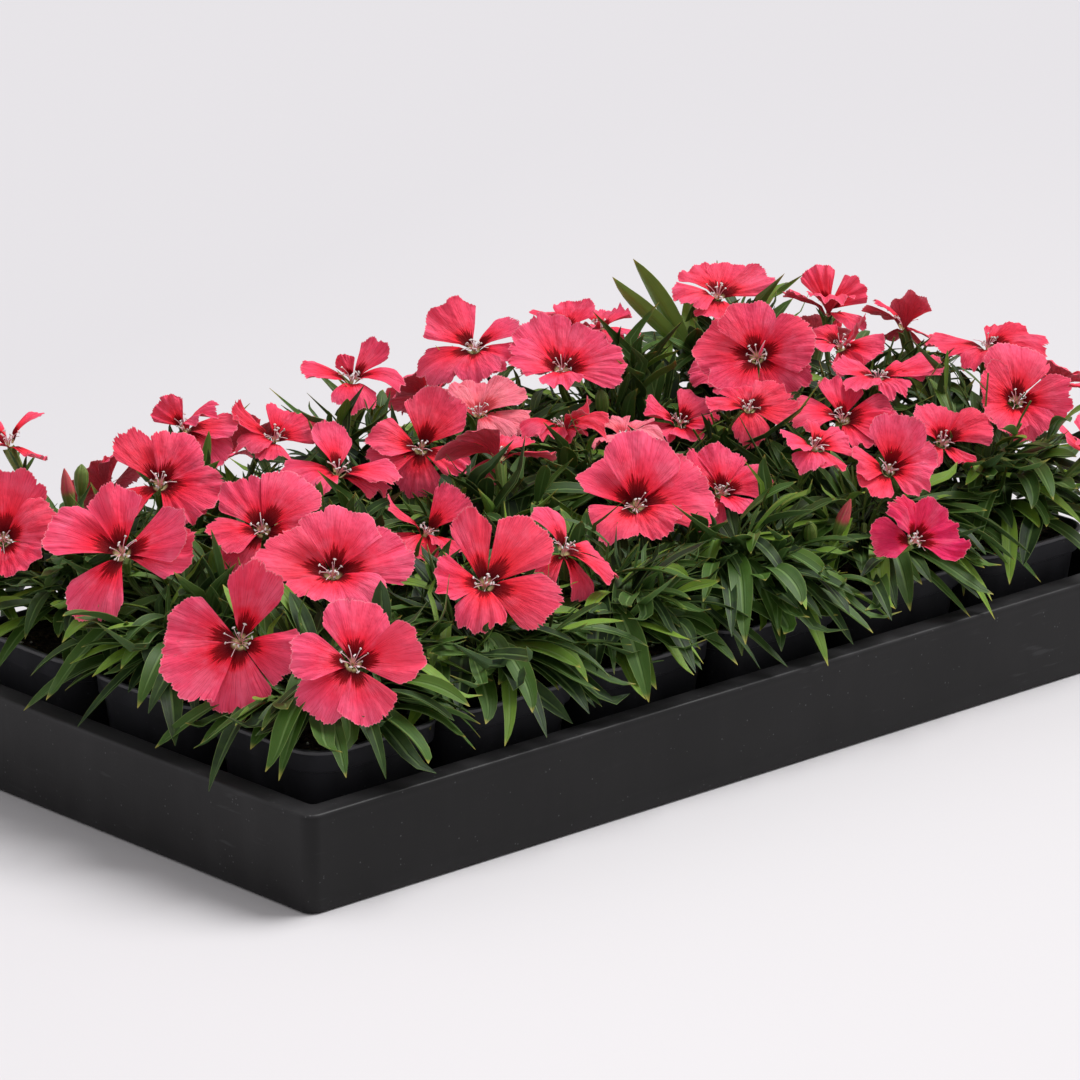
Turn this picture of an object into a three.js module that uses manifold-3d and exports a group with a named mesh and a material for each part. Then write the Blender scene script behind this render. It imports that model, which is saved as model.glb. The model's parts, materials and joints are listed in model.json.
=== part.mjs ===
// A flat of dianthus in bloom: a carrier tray, three six-cell packs, their potting soil,
// eighteen bushy plants and their flowers. Millimetres, +Z up, origin at the middle of the tray's underside.
import * as THREE from "three";
import { mergeVertices } from "three/addons/utils/BufferGeometryUtils.js";
import Module from "manifold-3d";

const wasm = await Module();
wasm.setup();

// Driving dimensions.
const CELL_PITCH = 83;
const CELL_COLUMNS = 6;
const CELL_ROWS = 3;
const PACK_COLUMNS = 2;
const SEAT_GAP = 0.3;
const OVERCUT = 1; // a cut runs this far past the face that it opens

const TRAY = { length: 538, width: 289, height: 46, draft: 1.4, corner: 7, steps: 2, wall: 3, floor: 3 };
const TRAY_RIM = { width: 12.5, thickness: 4, round: 1.2 };
const TRAY_SLOT = { length: 60, width: 10, columns: 4, rows: 2 };

const CELL = { top: 63, half: 40, halfBottom: 31, corner: 17, cornerBottom: 13, wall: 1.6, base: 1.5 };
const CELL_BAND = { height: 10.5, flare: 1.2 };
const CELL_DRAIN = 9;
const PACK_PINCH = 0.8; // the two columns of a pack stand this much closer than those of two packs
const WEB = { length: 44, thickness: 2.5 };
const NOTCH = { length: 24, depth: 9.5, reach: 3 };

const SOIL = { top: 57, gap: 0.4, saddle: 3, saddleLength: 30 };
const TRUNK = { radius: 3.5, bottom: 42, sunk: 4, sides: 4, holeGap: 0.4 };
const CORE = [
  { z: 61, radius: 12 },
  { z: 76, radius: 20 },
  { z: 97, radius: 7 },
];
const CORE_SIDES = 6;
const RUNNER = { z: 70, radius: 2.2, sides: 3 };

const LEAF = { thickness: 1.1, fold: 0.12, turn: 137.5, tries: 24 };
const LOW_LEAF = { count: 7, fan: 112, rise: 16, root: 10, z: 72, length: 66, width: 11.5, droop: 0.46 };
const HIGH_LEAF = { count: 5, rise: 64, root: 5, z: 86, length: 46, width: 9, droop: 0.16 };

const STEM = { radius: 1.5, start: 83, reach: 9, sides: 3, margin: 1, checks: 8 };
const STEM_TURNS = [0, 40, -40, 80, -80, 120, -120, 180];
const CALYX = { length: 15, radius: 3, neck: 1.7 };
const PETAL = { thickness: 1, twist: 13, spread: 44, wave: 6, count: 5, lift: 1.6, ripple: 0.9 };
const TEETH = [0.8, 1, 0.95, 0.78]; // the reach of a petal's edge, from side to side
const HUB = { radius: 3.6, height: 1.6 };
const BUD = { length: 13, radius: 4 };

const PACK_MARGIN = 1.5; // foliage stays this far inside the line between two packs
const RIM_MARGIN = 2.5; // foliage passes this far above what it hangs over
const BLOOM_MARGIN = 2.5; // foliage passes this far from a flower

// The flowers: centre x, y, z, the way each faces (degrees from +X), how far it leans
// from upright (degrees), its diameter and how far its petals are cupped.
const BLOOMS = [
  // front corner and the short side
  [-220, -117, 100, 240, 50, 58, 5],
  [-238, -60, 100, 215, 58, 60, 5],
  [-173, -49, 118, 235, 28, 60, 5],
  [-174, -2, 126, 225, 42, 54, 4],
  [-233, 26, 120, 215, 32, 60, 9],
  [-235, 108, 108, 220, 45, 52, 5],
  [-180, 62, 130, 235, 38, 56, 6],
  // front row
  [-125, -100, 113, 240, 46, 58, 5],
  [-66, -93, 107, 315, 20, 48, 3],
  [0, -61, 115, 235, 40, 58, 6],
  [58, -56, 108, 270, 32, 48, 5],
  [108, -131, 88, 275, 50, 44, 10],
  [102, -74, 116, 262, 28, 46, 5],
  [150, -48, 118, 250, 25, 46, 5],
  [139, -98, 106, 240, 36, 46, 7],
  [187, -83, 114, 270, 30, 44, 7],
  [235, -84, 125, 235, 54, 50, 4],
  // middle row
  [-90, -26, 114, 320, 25, 46, 5],
  [-28, -2, 128, 48, 28, 50, 8],
  [-35, 50, 122, 235, 38, 48, 5],
  [-95, 43, 129, 300, 20, 50, 6],
  [22, 63, 128, 228, 14, 50, 5],
  [32, 20, 132, 150, 12, 44, 7],
  [64, 12, 112, 90, 10, 42, 4],
  [111, 27, 110, 250, 25, 42, 5],
  [116, -10, 128, 260, 18, 44, 5],
  [152, 16, 141, 220, 46, 58, 4],
  [168, 44, 118, 230, 30, 50, 5],
  [203, 5, 132, 200, 25, 46, 5],
  [181, -36, 137, 228, 9, 48, 3],
  [230, 41, 147, 10, 16, 50, 12],
  [246, -2, 138, 30, 32, 48, 9],
  [248, -47, 136, 250, 8, 46, 3],
  // back row
  [-88, 97, 128, 270, 30, 46, 5],
  [-125, 122, 137, 200, 20, 50, 5],
  [-207, 131, 141, 60, 12, 46, 9],
  [-19, 116, 138, 250, 12, 48, 3],
  [52, 113, 141, 215, 30, 50, 5],
  [81, 76, 135, 230, 32, 56, 5],
  [104, 104, 146, 20, 14, 46, 6],
  [143, 108, 133, 60, 12, 40, 5],
  [198, 97, 146, 235, 24, 52, 6],
  // beyond the crown, low on the far sides
  [275, -70, 118, 20, 30, 46, 5],
  [240, -125, 100, 310, 45, 48, 5],
  [262, 82, 108, 30, 45, 48, 5],
  [-150, 140, 104, 100, 48, 48, 5],
  [-60, 138, 108, 80, 45, 48, 5],
  [60, 150, 106, 90, 48, 48, 5],
  [150, 146, 106, 80, 45, 48, 5],
];

// The buds: tip x, y, z, the way each faces and its lean.
const BUDS = [
  [-182, 118, 128, 40, 15],
  [-196, 112, 124, 100, 10],
  [-222, -16, 96, 215, 25],
  [-191, -70, 102, 200, 20],
  [88, 56, 124, 200, 10],
  [92, -108, 100, 300, 20],
  [76, -100, 96, 220, 25],
  [172, -66, 116, 90, 15],
];

// The leafy shoot that stands above the crown: its stem and the tips and widths of its blades.
const SHOOT = {
  foot: [203, 84, 86],
  top: [176, 88, 119],
  radius: 2,
  sunk: 2,
  blades: [
    { tip: [166, 118, 165], width: 10 },
    { tip: [154, 124, 155], width: 8 },
    { tip: [206, 119, 141], width: 7 },
    { tip: [160, 62, 140], width: 8 },
  ],
};

const UP = new THREE.Vector3(0, 0, 1);

function randomFrom(seed) {
  let state = seed;
  return (low = 0, high = 1) => {
    state = (Math.imul(state, 1664525) + 1013904223) >>> 0;
    return low + ((high - low) * state) / 4294967296;
  };
}

const radians = THREE.MathUtils.degToRad;
const lerp = THREE.MathUtils.lerp;

function point(x, y, z) {
  return new THREE.Vector3(x, y, z);
}

// A closed mesh from points and outward-facing triangles.
function meshOf(points, faces) {
  const geometry = new THREE.BufferGeometry().setFromPoints(points);
  geometry.setIndex(faces.flat());
  return geometry;
}

function solidOf(geometry) {
  const bare = geometry.clone();
  bare.deleteAttribute("normal");
  bare.deleteAttribute("uv");
  const merged = mergeVertices(bare, 1e-4);
  const vertProperties = new Float32Array(merged.attributes.position.array);
  const triVerts = new Uint32Array(merged.index.array);
  return new wasm.Manifold(new wasm.Mesh({ numProp: 3, vertProperties, triVerts }));
}

function geometryOf(solid) {
  const mesh = solid.getMesh();
  const geometry = new THREE.BufferGeometry();
  geometry.setAttribute("position", new THREE.BufferAttribute(new Float32Array(mesh.vertProperties), 3));
  geometry.setIndex(new THREE.BufferAttribute(new Uint32Array(mesh.triVerts), 1));
  geometry.computeVertexNormals();
  return geometry;
}

// The solid between rings of equally many points, each counter-clockwise seen from the next.
// A first or last ring of one point closes it in a tip.
function loft(rings) {
  const sides = Math.max(...rings.map((ring) => ring.length));
  const starts = rings.map((_, number) => rings.slice(0, number).flat().length);
  const corner = (number, side) => starts[number] + (side % rings[number].length);
  const full = (number) => rings[number].length === sides;
  const last = rings.length - 1;
  const faces = [];
  for (let ring = 0; ring < last; ring++)
    for (let side = 0; side < sides; side++) {
      const here = corner(ring, side);
      const across = corner(ring + 1, side + 1);
      if (full(ring + 1)) faces.push([here, across, corner(ring + 1, side)]);
      if (full(ring)) faces.push([here, corner(ring, side + 1), across]);
    }
  for (let side = 1; side < sides - 1; side++) {
    if (full(0)) faces.push([corner(0, 0), corner(0, side + 1), corner(0, side)]);
    if (full(last)) faces.push([corner(last, 0), corner(last, side), corner(last, side + 1)]);
  }
  return solidOf(meshOf(rings.flat(), faces));
}

// A level rectangle with rounded corners, centred on x, y.
function roundedRing(x, y, z, halfX, halfY, radius, stepsACorner) {
  const ring = [];
  for (let corner = 0; corner < 4; corner++) {
    const signX = corner === 0 || corner === 3 ? 1 : -1;
    const signY = corner < 2 ? 1 : -1;
    for (let step = 0; step <= stepsACorner; step++) {
      const angle = (Math.PI / 2) * (corner + step / stepsACorner);
      const px = x + signX * (halfX - radius) + radius * Math.cos(angle);
      const py = y + signY * (halfY - radius) + radius * Math.sin(angle);
      ring.push(point(px, py, z));
    }
  }
  return ring;
}

// A regular ring of points round a place, across a direction.
function ringAcross(centre, direction, radius, sides, turn = 0) {
  const frame = new THREE.Quaternion().setFromUnitVectors(UP, direction);
  return Array.from({ length: sides }, (_, side) => {
    const angle = turn + (2 * Math.PI * side) / sides;
    return point(radius * Math.cos(angle), radius * Math.sin(angle), 0).applyQuaternion(frame).add(centre);
  });
}

function box(x, y, bottom, top, sizeX, sizeY) {
  return solidOf(new THREE.BoxGeometry(sizeX, sizeY, top - bottom).translate(x, y, (top + bottom) / 2));
}

function joined(solids) {
  return solids.reduce((whole, solid) => whole.add(solid));
}

function part(name, solid, color, roughness) {
  const mesh = new THREE.Mesh(
    solid.getMesh ? geometryOf(solid) : solid,
    new THREE.MeshStandardMaterial({ color, roughness, metalness: 0 }),
  );
  mesh.name = name;
  return mesh;
}

// The cells: each knows its place and its pack.
const PACKS = CELL_COLUMNS / PACK_COLUMNS;
const PACK_PITCH = CELL_PITCH * PACK_COLUMNS;

function packCentre(pack) {
  return (pack - (PACKS - 1) / 2) * PACK_PITCH;
}

function cellsOf(pack) {
  const cells = [];
  for (let column = 0; column < PACK_COLUMNS; column++)
    for (let row = 0; row < CELL_ROWS; row++) {
      const side = column - (PACK_COLUMNS - 1) / 2;
      const x = packCentre(pack) + side * (CELL_PITCH - PACK_PINCH);
      const y = (row - (CELL_ROWS - 1) / 2) * CELL_PITCH;
      cells.push({ x, y, column, row, number: pack * PACK_COLUMNS * CELL_ROWS + column * CELL_ROWS + row });
    }
  return cells;
}

// The places between neighbouring cells of a pack, with the way from one to the other.
function neighboursOf(cells) {
  const pairs = [];
  for (const a of cells)
    for (const b of cells) {
      const alongX = b.column === a.column + 1 && b.row === a.row;
      const alongY = b.row === a.row + 1 && b.column === a.column;
      if (alongX || alongY) pairs.push({ a, b, alongX, x: (a.x + b.x) / 2, y: (a.y + b.y) / 2 });
    }
  return pairs;
}

function barBetween(pair, across, along, bottom, top) {
  const sizeX = pair.alongX ? across : along;
  const sizeY = pair.alongX ? along : across;
  return box(pair.x, pair.y, bottom, top, sizeX, sizeY);
}

function tray() {
  const { length, width, height, draft, corner, wall, floor } = TRAY;
  const ring = (inset, z, radius) =>
    roundedRing(0, 0, z, length / 2 - inset, width / 2 - inset, radius, TRAY.steps);
  const outside = loft([
    ring(draft, 0, corner),
    ring(0, height - TRAY_RIM.round, corner),
    ring(TRAY_RIM.round, height, corner - TRAY_RIM.round),
  ]);
  const inside = loft([
    ring(draft + wall, floor, corner - wall),
    ring(wall, height - TRAY_RIM.thickness, corner - wall),
  ]);
  const mouth = loft([
    ring(TRAY_RIM.width, height - TRAY_RIM.thickness - OVERCUT, corner - wall),
    ring(TRAY_RIM.width, height + OVERCUT, corner - wall),
  ]);
  const slots = [];
  for (let column = 0; column < TRAY_SLOT.columns; column++)
    for (let row = 0; row < TRAY_SLOT.rows; row++) {
      const x = ((column - (TRAY_SLOT.columns - 1) / 2) * length) / TRAY_SLOT.columns;
      const y = ((row - (TRAY_SLOT.rows - 1) / 2) * width) / TRAY_SLOT.rows;
      slots.push(box(x, y, -OVERCUT, floor + OVERCUT, TRAY_SLOT.length, TRAY_SLOT.width));
    }
  return slots.reduce((solid, slot) => solid.subtract(slot), outside.subtract(inside).subtract(mouth));
}

const CUP_BOTTOM = TRAY.floor + SEAT_GAP;
const CAVITY_BOTTOM = CUP_BOTTOM + CELL.base;

function cavityHalf(z) {
  const share = (z - CAVITY_BOTTOM) / (CELL.top - CAVITY_BOTTOM);
  return lerp(CELL.halfBottom - CELL.wall, CELL.half - CELL.wall, share);
}

function cavity(cell, bottom, top, inset) {
  const ring = (z, radius) => {
    const half = cavityHalf(z) - inset;
    return roundedRing(cell.x, cell.y, z, half, half, radius, 1);
  };
  return loft([ring(bottom, CELL.cornerBottom), ring(top, CELL.corner)]);
}

function cup(cell) {
  const ring = (z, half, radius) => roundedRing(cell.x, cell.y, z, half, half, radius, 1);
  const bandBottom = CELL.top - CELL_BAND.height;
  return loft([
    ring(CUP_BOTTOM, CELL.halfBottom, CELL.cornerBottom),
    ring(bandBottom, CELL.half - CELL_BAND.flare, CELL.corner),
    ring(CELL.top, CELL.half, CELL.corner),
  ]);
}

function pack(cells) {
  const pairs = neighboursOf(cells);
  const webWidth = CELL_PITCH - 2 * CELL.half + CELL.wall;
  const top = CELL.top + OVERCUT;
  const notchWidth = webWidth + 2 * NOTCH.reach;
  const webBottom = CELL.top - WEB.thickness;
  const webs = pairs.map((pair) => barBetween(pair, webWidth, WEB.length, webBottom, CELL.top));
  const cuts = [
    ...cells.map((cell) => cavity(cell, CAVITY_BOTTOM, top, 0)),
    ...cells.map((cell) => box(cell.x, cell.y, 0, CAVITY_BOTTOM + OVERCUT, CELL_DRAIN, CELL_DRAIN)),
    ...pairs.map((pair) => barBetween(pair, notchWidth, NOTCH.length, CELL.top - NOTCH.depth, top)),
  ];
  return cuts.reduce((solid, cut) => solid.subtract(cut), joined([...cells.map(cup), ...webs]));
}

function soil(cells) {
  const fills = cells.map((cell) => cavity(cell, CAVITY_BOTTOM + SOIL.gap, SOIL.top, SOIL.gap));
  const saddles = neighboursOf(cells).map((pair) =>
    barBetween(pair, SOIL.saddleLength, NOTCH.length - 2 * SOIL.gap, SOIL.top - SOIL.saddle, SOIL.top),
  );
  const holes = cells.map((cell) => trunk(cell, TRUNK.radius + TRUNK.holeGap, TRUNK.bottom - TRUNK.holeGap));
  return holes.reduce((solid, hole) => solid.subtract(hole), joined([...fills, ...saddles]));
}

function trunk(cell, radius, bottom) {
  const ring = (z) => ringAcross(point(cell.x, cell.y, z), UP, radius, TRUNK.sides);
  return loft([ring(bottom), ring(CORE[0].z + TRUNK.sunk)]);
}

// A flower's own frame: where it is, the way it faces, and the calyx that carries it.
function placed(row, index) {
  const [x, y, z, facing, lean, diameter = 0, cupped = 0] = row;
  const turn = radians(facing);
  const tilt = radians(lean);
  const axis = point(Math.sin(tilt) * Math.cos(turn), Math.sin(tilt) * Math.sin(turn), Math.cos(tilt));
  return { index, centre: point(x, y, z), axis, radius: diameter / 2, cupped };
}

const blooms = BLOOMS.map(placed);
const buds = BUDS.map(placed);
const allCells = Array.from({ length: PACKS }, (_, number) => cellsOf(number)).flat();

function along(flower, distance) {
  return flower.centre.clone().addScaledVector(flower.axis, distance);
}

// The plant that carries a flower is the one nearest to the foot of its calyx.
function plantOf(flower) {
  const foot = along(flower, -CALYX.length);
  const gap = (cell) => Math.hypot(cell.x - foot.x, cell.y - foot.y);
  return allCells.reduce((nearest, cell) => (gap(cell) < gap(nearest) ? cell : nearest));
}

// Five overlapping petals on a small hub. Each petal is a thin fan with a toothed, waved edge,
// twisted so that one side lies over its neighbour and the other side under the next.
function bloom(flower) {
  const random = randomFrom(1000 + flower.index);
  const points = [];
  const faces = [];
  const add = (p) => points.push(p) - 1;
  const polar = (radius, angle, z) => point(radius * Math.cos(angle), radius * Math.sin(angle), z);
  const step = (2 * Math.PI) / PETAL.count;
  const top = [];
  const middle = [];
  const bottom = [];
  for (let corner = 0; corner < PETAL.count; corner++) {
    const angle = (corner + 0.5) * step;
    top.push(add(polar(HUB.radius, angle, HUB.height / 2)));
    middle.push(add(polar(HUB.radius, angle, 0)));
    bottom.push(add(polar(HUB.radius, angle, -HUB.height / 2)));
  }
  faces.push([top[0], top[1], top[2]], [top[0], top[2], top[3]], [top[0], top[3], top[4]]);
  faces.push([bottom[0], bottom[2], bottom[1]], [bottom[0], bottom[3], bottom[2]]);
  faces.push([bottom[0], bottom[4], bottom[3]]);
  for (let petal = 0; petal < PETAL.count; petal++) {
    const before = (petal + PETAL.count - 1) % PETAL.count;
    const reach = flower.radius * random(0.94, 1);
    const lift = flower.cupped + random(-PETAL.lift, PETAL.lift);
    const upper = [middle[before]];
    const lower = [bottom[before]];
    TEETH.forEach((tooth, number) => {
      const offset = radians(PETAL.spread * ((2 * number) / (TEETH.length - 1) - 1));
      const radius = reach * tooth;
      const slope = Math.tan(radians(PETAL.twist)) * Math.sin(offset);
      const z = lift * tooth + radius * slope + random(-PETAL.ripple, PETAL.ripple);
      upper.push(add(polar(radius, petal * step + offset, z + PETAL.thickness / 2)));
      lower.push(add(polar(radius, petal * step + offset, z - PETAL.thickness / 2)));
    });
    upper.push(top[petal]);
    lower.push(middle[petal]);
    for (const [a, b, c] of [[0, 1, 2], [0, 2, 5], [5, 2, 3], [5, 3, 4]]) {
      faces.push([upper[a], upper[b], upper[c]]);
      faces.push([lower[a], lower[c], lower[b]]);
    }
    for (let edge = 0; edge < upper.length - 1; edge++) {
      faces.push([lower[edge], lower[edge + 1], upper[edge + 1]]);
      faces.push([lower[edge], upper[edge + 1], upper[edge]]);
    }
    faces.push([middle[before], top[petal], top[before]]);
    faces.push([bottom[before], bottom[petal], middle[petal]]);
  }
  const geometry = meshOf(points, faces);
  geometry.computeVertexNormals();
  return geometry;
}

// A flower stem that leaves the plant's crown and ends in the calyx, square to its flower.
// It leaves on the side where it passes clear of the other flowers.
function stemCurve(flower, cell) {
  const foot = along(flower, -CALYX.length - HUB.height / 2 - SEAT_GAP);
  const outward = point(foot.x - cell.x, foot.y - cell.y, 0).clampLength(0, STEM.reach);
  const control = foot.clone().addScaledVector(flower.axis, -CALYX.length);
  const curves = STEM_TURNS.map((turn) => {
    const start = outward.clone().applyAxisAngle(UP, radians(turn)).add(point(cell.x, cell.y, STEM.start));
    return new THREE.QuadraticBezierCurve3(start, control, foot);
  });
  const others = blooms.filter((other) => other.centre !== flower.centre);
  const room = STEM.radius + STEM.margin;
  const clear = (curve) => curve.getPoints(STEM.checks).every((p) => clearOf(others, p, room));
  return curves.find(clear) ?? curves[0];
}

function stem(flower, cell) {
  const curve = stemCurve(flower, cell);
  const ring = (share, radius) =>
    ringAcross(curve.getPoint(share), curve.getTangent(share).normalize(), radius, STEM.sides);
  const seat = along(flower, -HUB.height / 2 - SEAT_GAP);
  return loft([
    ring(0, STEM.radius),
    ring(0.5, STEM.radius),
    ring(1, CALYX.neck),
    ringAcross(seat, flower.axis, CALYX.radius, STEM.sides),
  ]);
}

function bud(flower, cell) {
  const curve = stemCurve({ ...flower, centre: along(flower, -BUD.length + CALYX.length) }, cell);
  const ring = (share, radius) =>
    ringAcross(curve.getPoint(share), curve.getTangent(share).normalize(), radius, STEM.sides);
  return loft([
    ring(0, STEM.radius),
    ring(0.5, STEM.radius),
    ring(1, STEM.radius),
    ringAcross(along(flower, -BUD.length / 2), flower.axis, BUD.radius, STEM.sides),
    [flower.centre.clone()],
  ]);
}

function core(cell) {
  const turn = randomFrom(500 + cell.number)(0, Math.PI);
  const ring = ({ z, radius }) => ringAcross(point(cell.x, cell.y, z), UP, radius, CORE_SIDES, turn);
  return loft(CORE.map(ring));
}

function runner({ a, b }) {
  const direction = point(b.x - a.x, b.y - a.y, 0).normalize();
  const ring = (cell) => ringAcross(point(cell.x, cell.y, RUNNER.z), direction, RUNNER.radius, RUNNER.sides);
  return loft([ring(a), ring(b)]);
}

// One blade: a shallow V in section, widest before its middle, that runs out to a point.
// The parabola of its midrib rises from the root and droops towards the tip.
function bladeRings(blade, shares) {
  const heading = point(Math.cos(blade.azimuth), Math.sin(blade.azimuth), 0);
  const side = point(-Math.sin(blade.azimuth), Math.cos(blade.azimuth), 0);
  return shares.map((share) => {
    const run = blade.length * Math.cos(blade.rise);
    const climb = blade.length * (Math.sin(blade.rise) * share - blade.droop * share * share);
    const spine = blade.root.clone().addScaledVector(heading, run * share).addScaledVector(UP, climb);
    if (share === 0 || share === 1) return [spine];
    const slope = blade.length * (Math.sin(blade.rise) - 2 * blade.droop * share);
    const tangent = heading.clone().multiplyScalar(run).addScaledVector(UP, slope).normalize();
    const normal = tangent.clone().cross(side);
    const half = (blade.width / 2) * Math.sqrt(Math.sin(Math.PI * (0.12 + 0.8 * share)));
    const edge = spine.clone().addScaledVector(normal, half * 2 * LEAF.fold);
    return [
      edge.clone().addScaledVector(side, half),
      edge.clone().addScaledVector(side, -half),
      spine.clone().addScaledVector(normal, -LEAF.thickness),
    ];
  });
}

function blade(place) {
  return loft(bladeRings(place, place.low ? [0, 0.35, 0.7, 1] : [0, 0.5, 1]));
}

// Whether a point is clear of flowers: each keeps the flat drum that its petals wave in.
function clearOf(flowers, p, margin) {
  return flowers.every((flower) => {
    const away = p.clone().sub(flower.centre);
    const height = away.dot(flower.axis);
    const radius = away.addScaledVector(flower.axis, -height).length();
    const above = flower.cupped + PETAL.wave + margin;
    return radius > flower.radius + margin || height > above || height < -PETAL.wave - margin;
  });
}

function clearOfPots(p) {
  const blockX = (CELL_COLUMNS * CELL_PITCH) / 2;
  const blockY = (CELL_ROWS * CELL_PITCH) / 2;
  if (Math.abs(p.x) < blockX && Math.abs(p.y) < blockY) return p.z > CELL.top + RIM_MARGIN;
  return p.z > TRAY.height + RIM_MARGIN;
}

function insidePack(p, number) {
  const reach = PACK_PITCH / 2 - PACK_MARGIN;
  const offset = p.x - packCentre(number);
  const first = number === 0 && offset < 0;
  const last = number === PACKS - 1 && offset > 0;
  return first || last || Math.abs(offset) < reach;
}

function fits(place, number) {
  const checked = bladeRings(place, [0.4, 0.55, 0.7, 0.85, 1]).flat();
  return checked.every((p) => clearOf(blooms, p, BLOOM_MARGIN) && clearOfPots(p) && insidePack(p, number));
}

// The way from a plant to where the flat has no neighbour for it: none in the middle.
function openSide(cell) {
  const lastX = ((CELL_COLUMNS - 1) / 2) * CELL_PITCH;
  const x = Math.abs(cell.x) > lastX - CELL_PITCH / 2 ? Math.sign(cell.x) : 0;
  return point(x, cell.row - (CELL_ROWS - 1) / 2, 0);
}

// The leaves of one plant: low ones that fan out and arch over the rim on its open side, and
// upright ones all round. Each is drawn again until it is clear of flowers, pots and next pack.
function leavesOf(cell, number) {
  const random = randomFrom(100 + cell.number);
  const open = openSide(cell);
  const inner = open.length() === 0;
  const outward = inner ? random(0, 2 * Math.PI) : Math.atan2(open.y, open.x);
  const fan = inner ? Math.PI : radians(LOW_LEAF.fan);
  const leaves = [];
  for (let leaf = 0; leaf < LOW_LEAF.count + HIGH_LEAF.count; leaf++) {
    const low = leaf < LOW_LEAF.count;
    const kind = low ? LOW_LEAF : HIGH_LEAF;
    const turn = low ? fan * ((2 * leaf + 1) / kind.count - 1) : leaf * radians(LEAF.turn);
    for (let attempt = 0; attempt < LEAF.tries; attempt++) {
      const azimuth = outward + turn + random(-0.25, 0.25) * (1 + attempt / 4);
      const rootX = cell.x + kind.root * Math.cos(azimuth);
      const rootY = cell.y + kind.root * Math.sin(azimuth);
      const place = {
        azimuth,
        low,
        root: point(rootX, rootY, kind.z + random(-3, 3)),
        rise: radians(kind.rise + random(-12, 14)),
        length: kind.length * random(0.7, 1.05),
        width: kind.width * random(0.8, 1.1),
        droop: kind.droop * random(0.7, 1.2),
      };
      if (fits(place, number)) {
        leaves.push(place);
        break;
      }
    }
  }
  return leaves;
}

function shoot() {
  const foot = point(...SHOOT.foot);
  const top = point(...SHOOT.top);
  const direction = top.clone().sub(foot).normalize();
  const blades = SHOOT.blades.map(({ tip, width }) => {
    const root = top.clone().addScaledVector(direction, -SHOOT.sunk);
    const way = point(...tip).sub(root);
    const length = way.length();
    const rise = Math.asin(way.z / length);
    return blade({ root, azimuth: Math.atan2(way.y, way.x), rise, length, width, droop: 0, low: true });
  });
  const stalk = loft([
    ringAcross(foot, direction, SHOOT.radius, STEM.sides),
    ringAcross(top, direction, STEM.radius, STEM.sides),
  ]);
  return joined([stalk, ...blades]);
}

function foliage(cells, number) {
  const own = (flower) => cells.some((cell) => cell.number === plantOf(flower).number);
  const tall = number === PACKS - 1 ? [shoot()] : [];
  return joined([
    ...cells.map(core),
    ...cells.map((cell) => trunk(cell, TRUNK.radius, TRUNK.bottom)),
    ...neighboursOf(cells).map(runner),
    ...blooms.filter(own).map((flower) => stem(flower, plantOf(flower))),
    ...buds.filter(own).map((flower) => bud(flower, plantOf(flower))),
    ...cells.flatMap((cell) => leavesOf(cell, number).map(blade)),
    ...tall,
  ]);
}

const flat = new THREE.Group();
flat.add(part("tray", tray(), 0x2b2d30, 0.5));
const letters = ["a", "b", "c"];
letters.forEach((letter, number) => {
  const cells = cellsOf(number);
  flat.add(part(`pack_${letter}`, pack(cells), 0x242628, 0.5));
  flat.add(part(`soil_${letter}`, soil(cells), 0x2c231c, 0.95));
  flat.add(part(`foliage_${letter}`, foliage(cells, number), 0x3f7a2c, 0.55));
});
blooms.forEach((flower) => {
  const mesh = part(`bloom_${String(flower.index + 1).padStart(2, "0")}`, bloom(flower), 0xe84b64, 0.6);
  mesh.position.copy(flower.centre);
  mesh.quaternion.setFromUnitVectors(UP, flower.axis);
  flat.add(mesh);
});

export default flat;
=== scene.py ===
# %% [markdown]
# # A flat of dianthus in bloom
#
# A garden centre sells dianthus by the flat: a black carrier tray holds three packs of six
# cells, each cell holds one bushy plant, and the plants flower together in one coral carpet.
# This lesson dresses the plain solids of such a flat. The solids say where everything is;
# the cells below work out the fine surfaces and their materials.
#
# We start with the frame, because every piece has to sit where the solids are. The box of
# the bare solids is kept, to be put beside the dressed flat's box at the end.

# %% The frame
import json
import math

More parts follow.
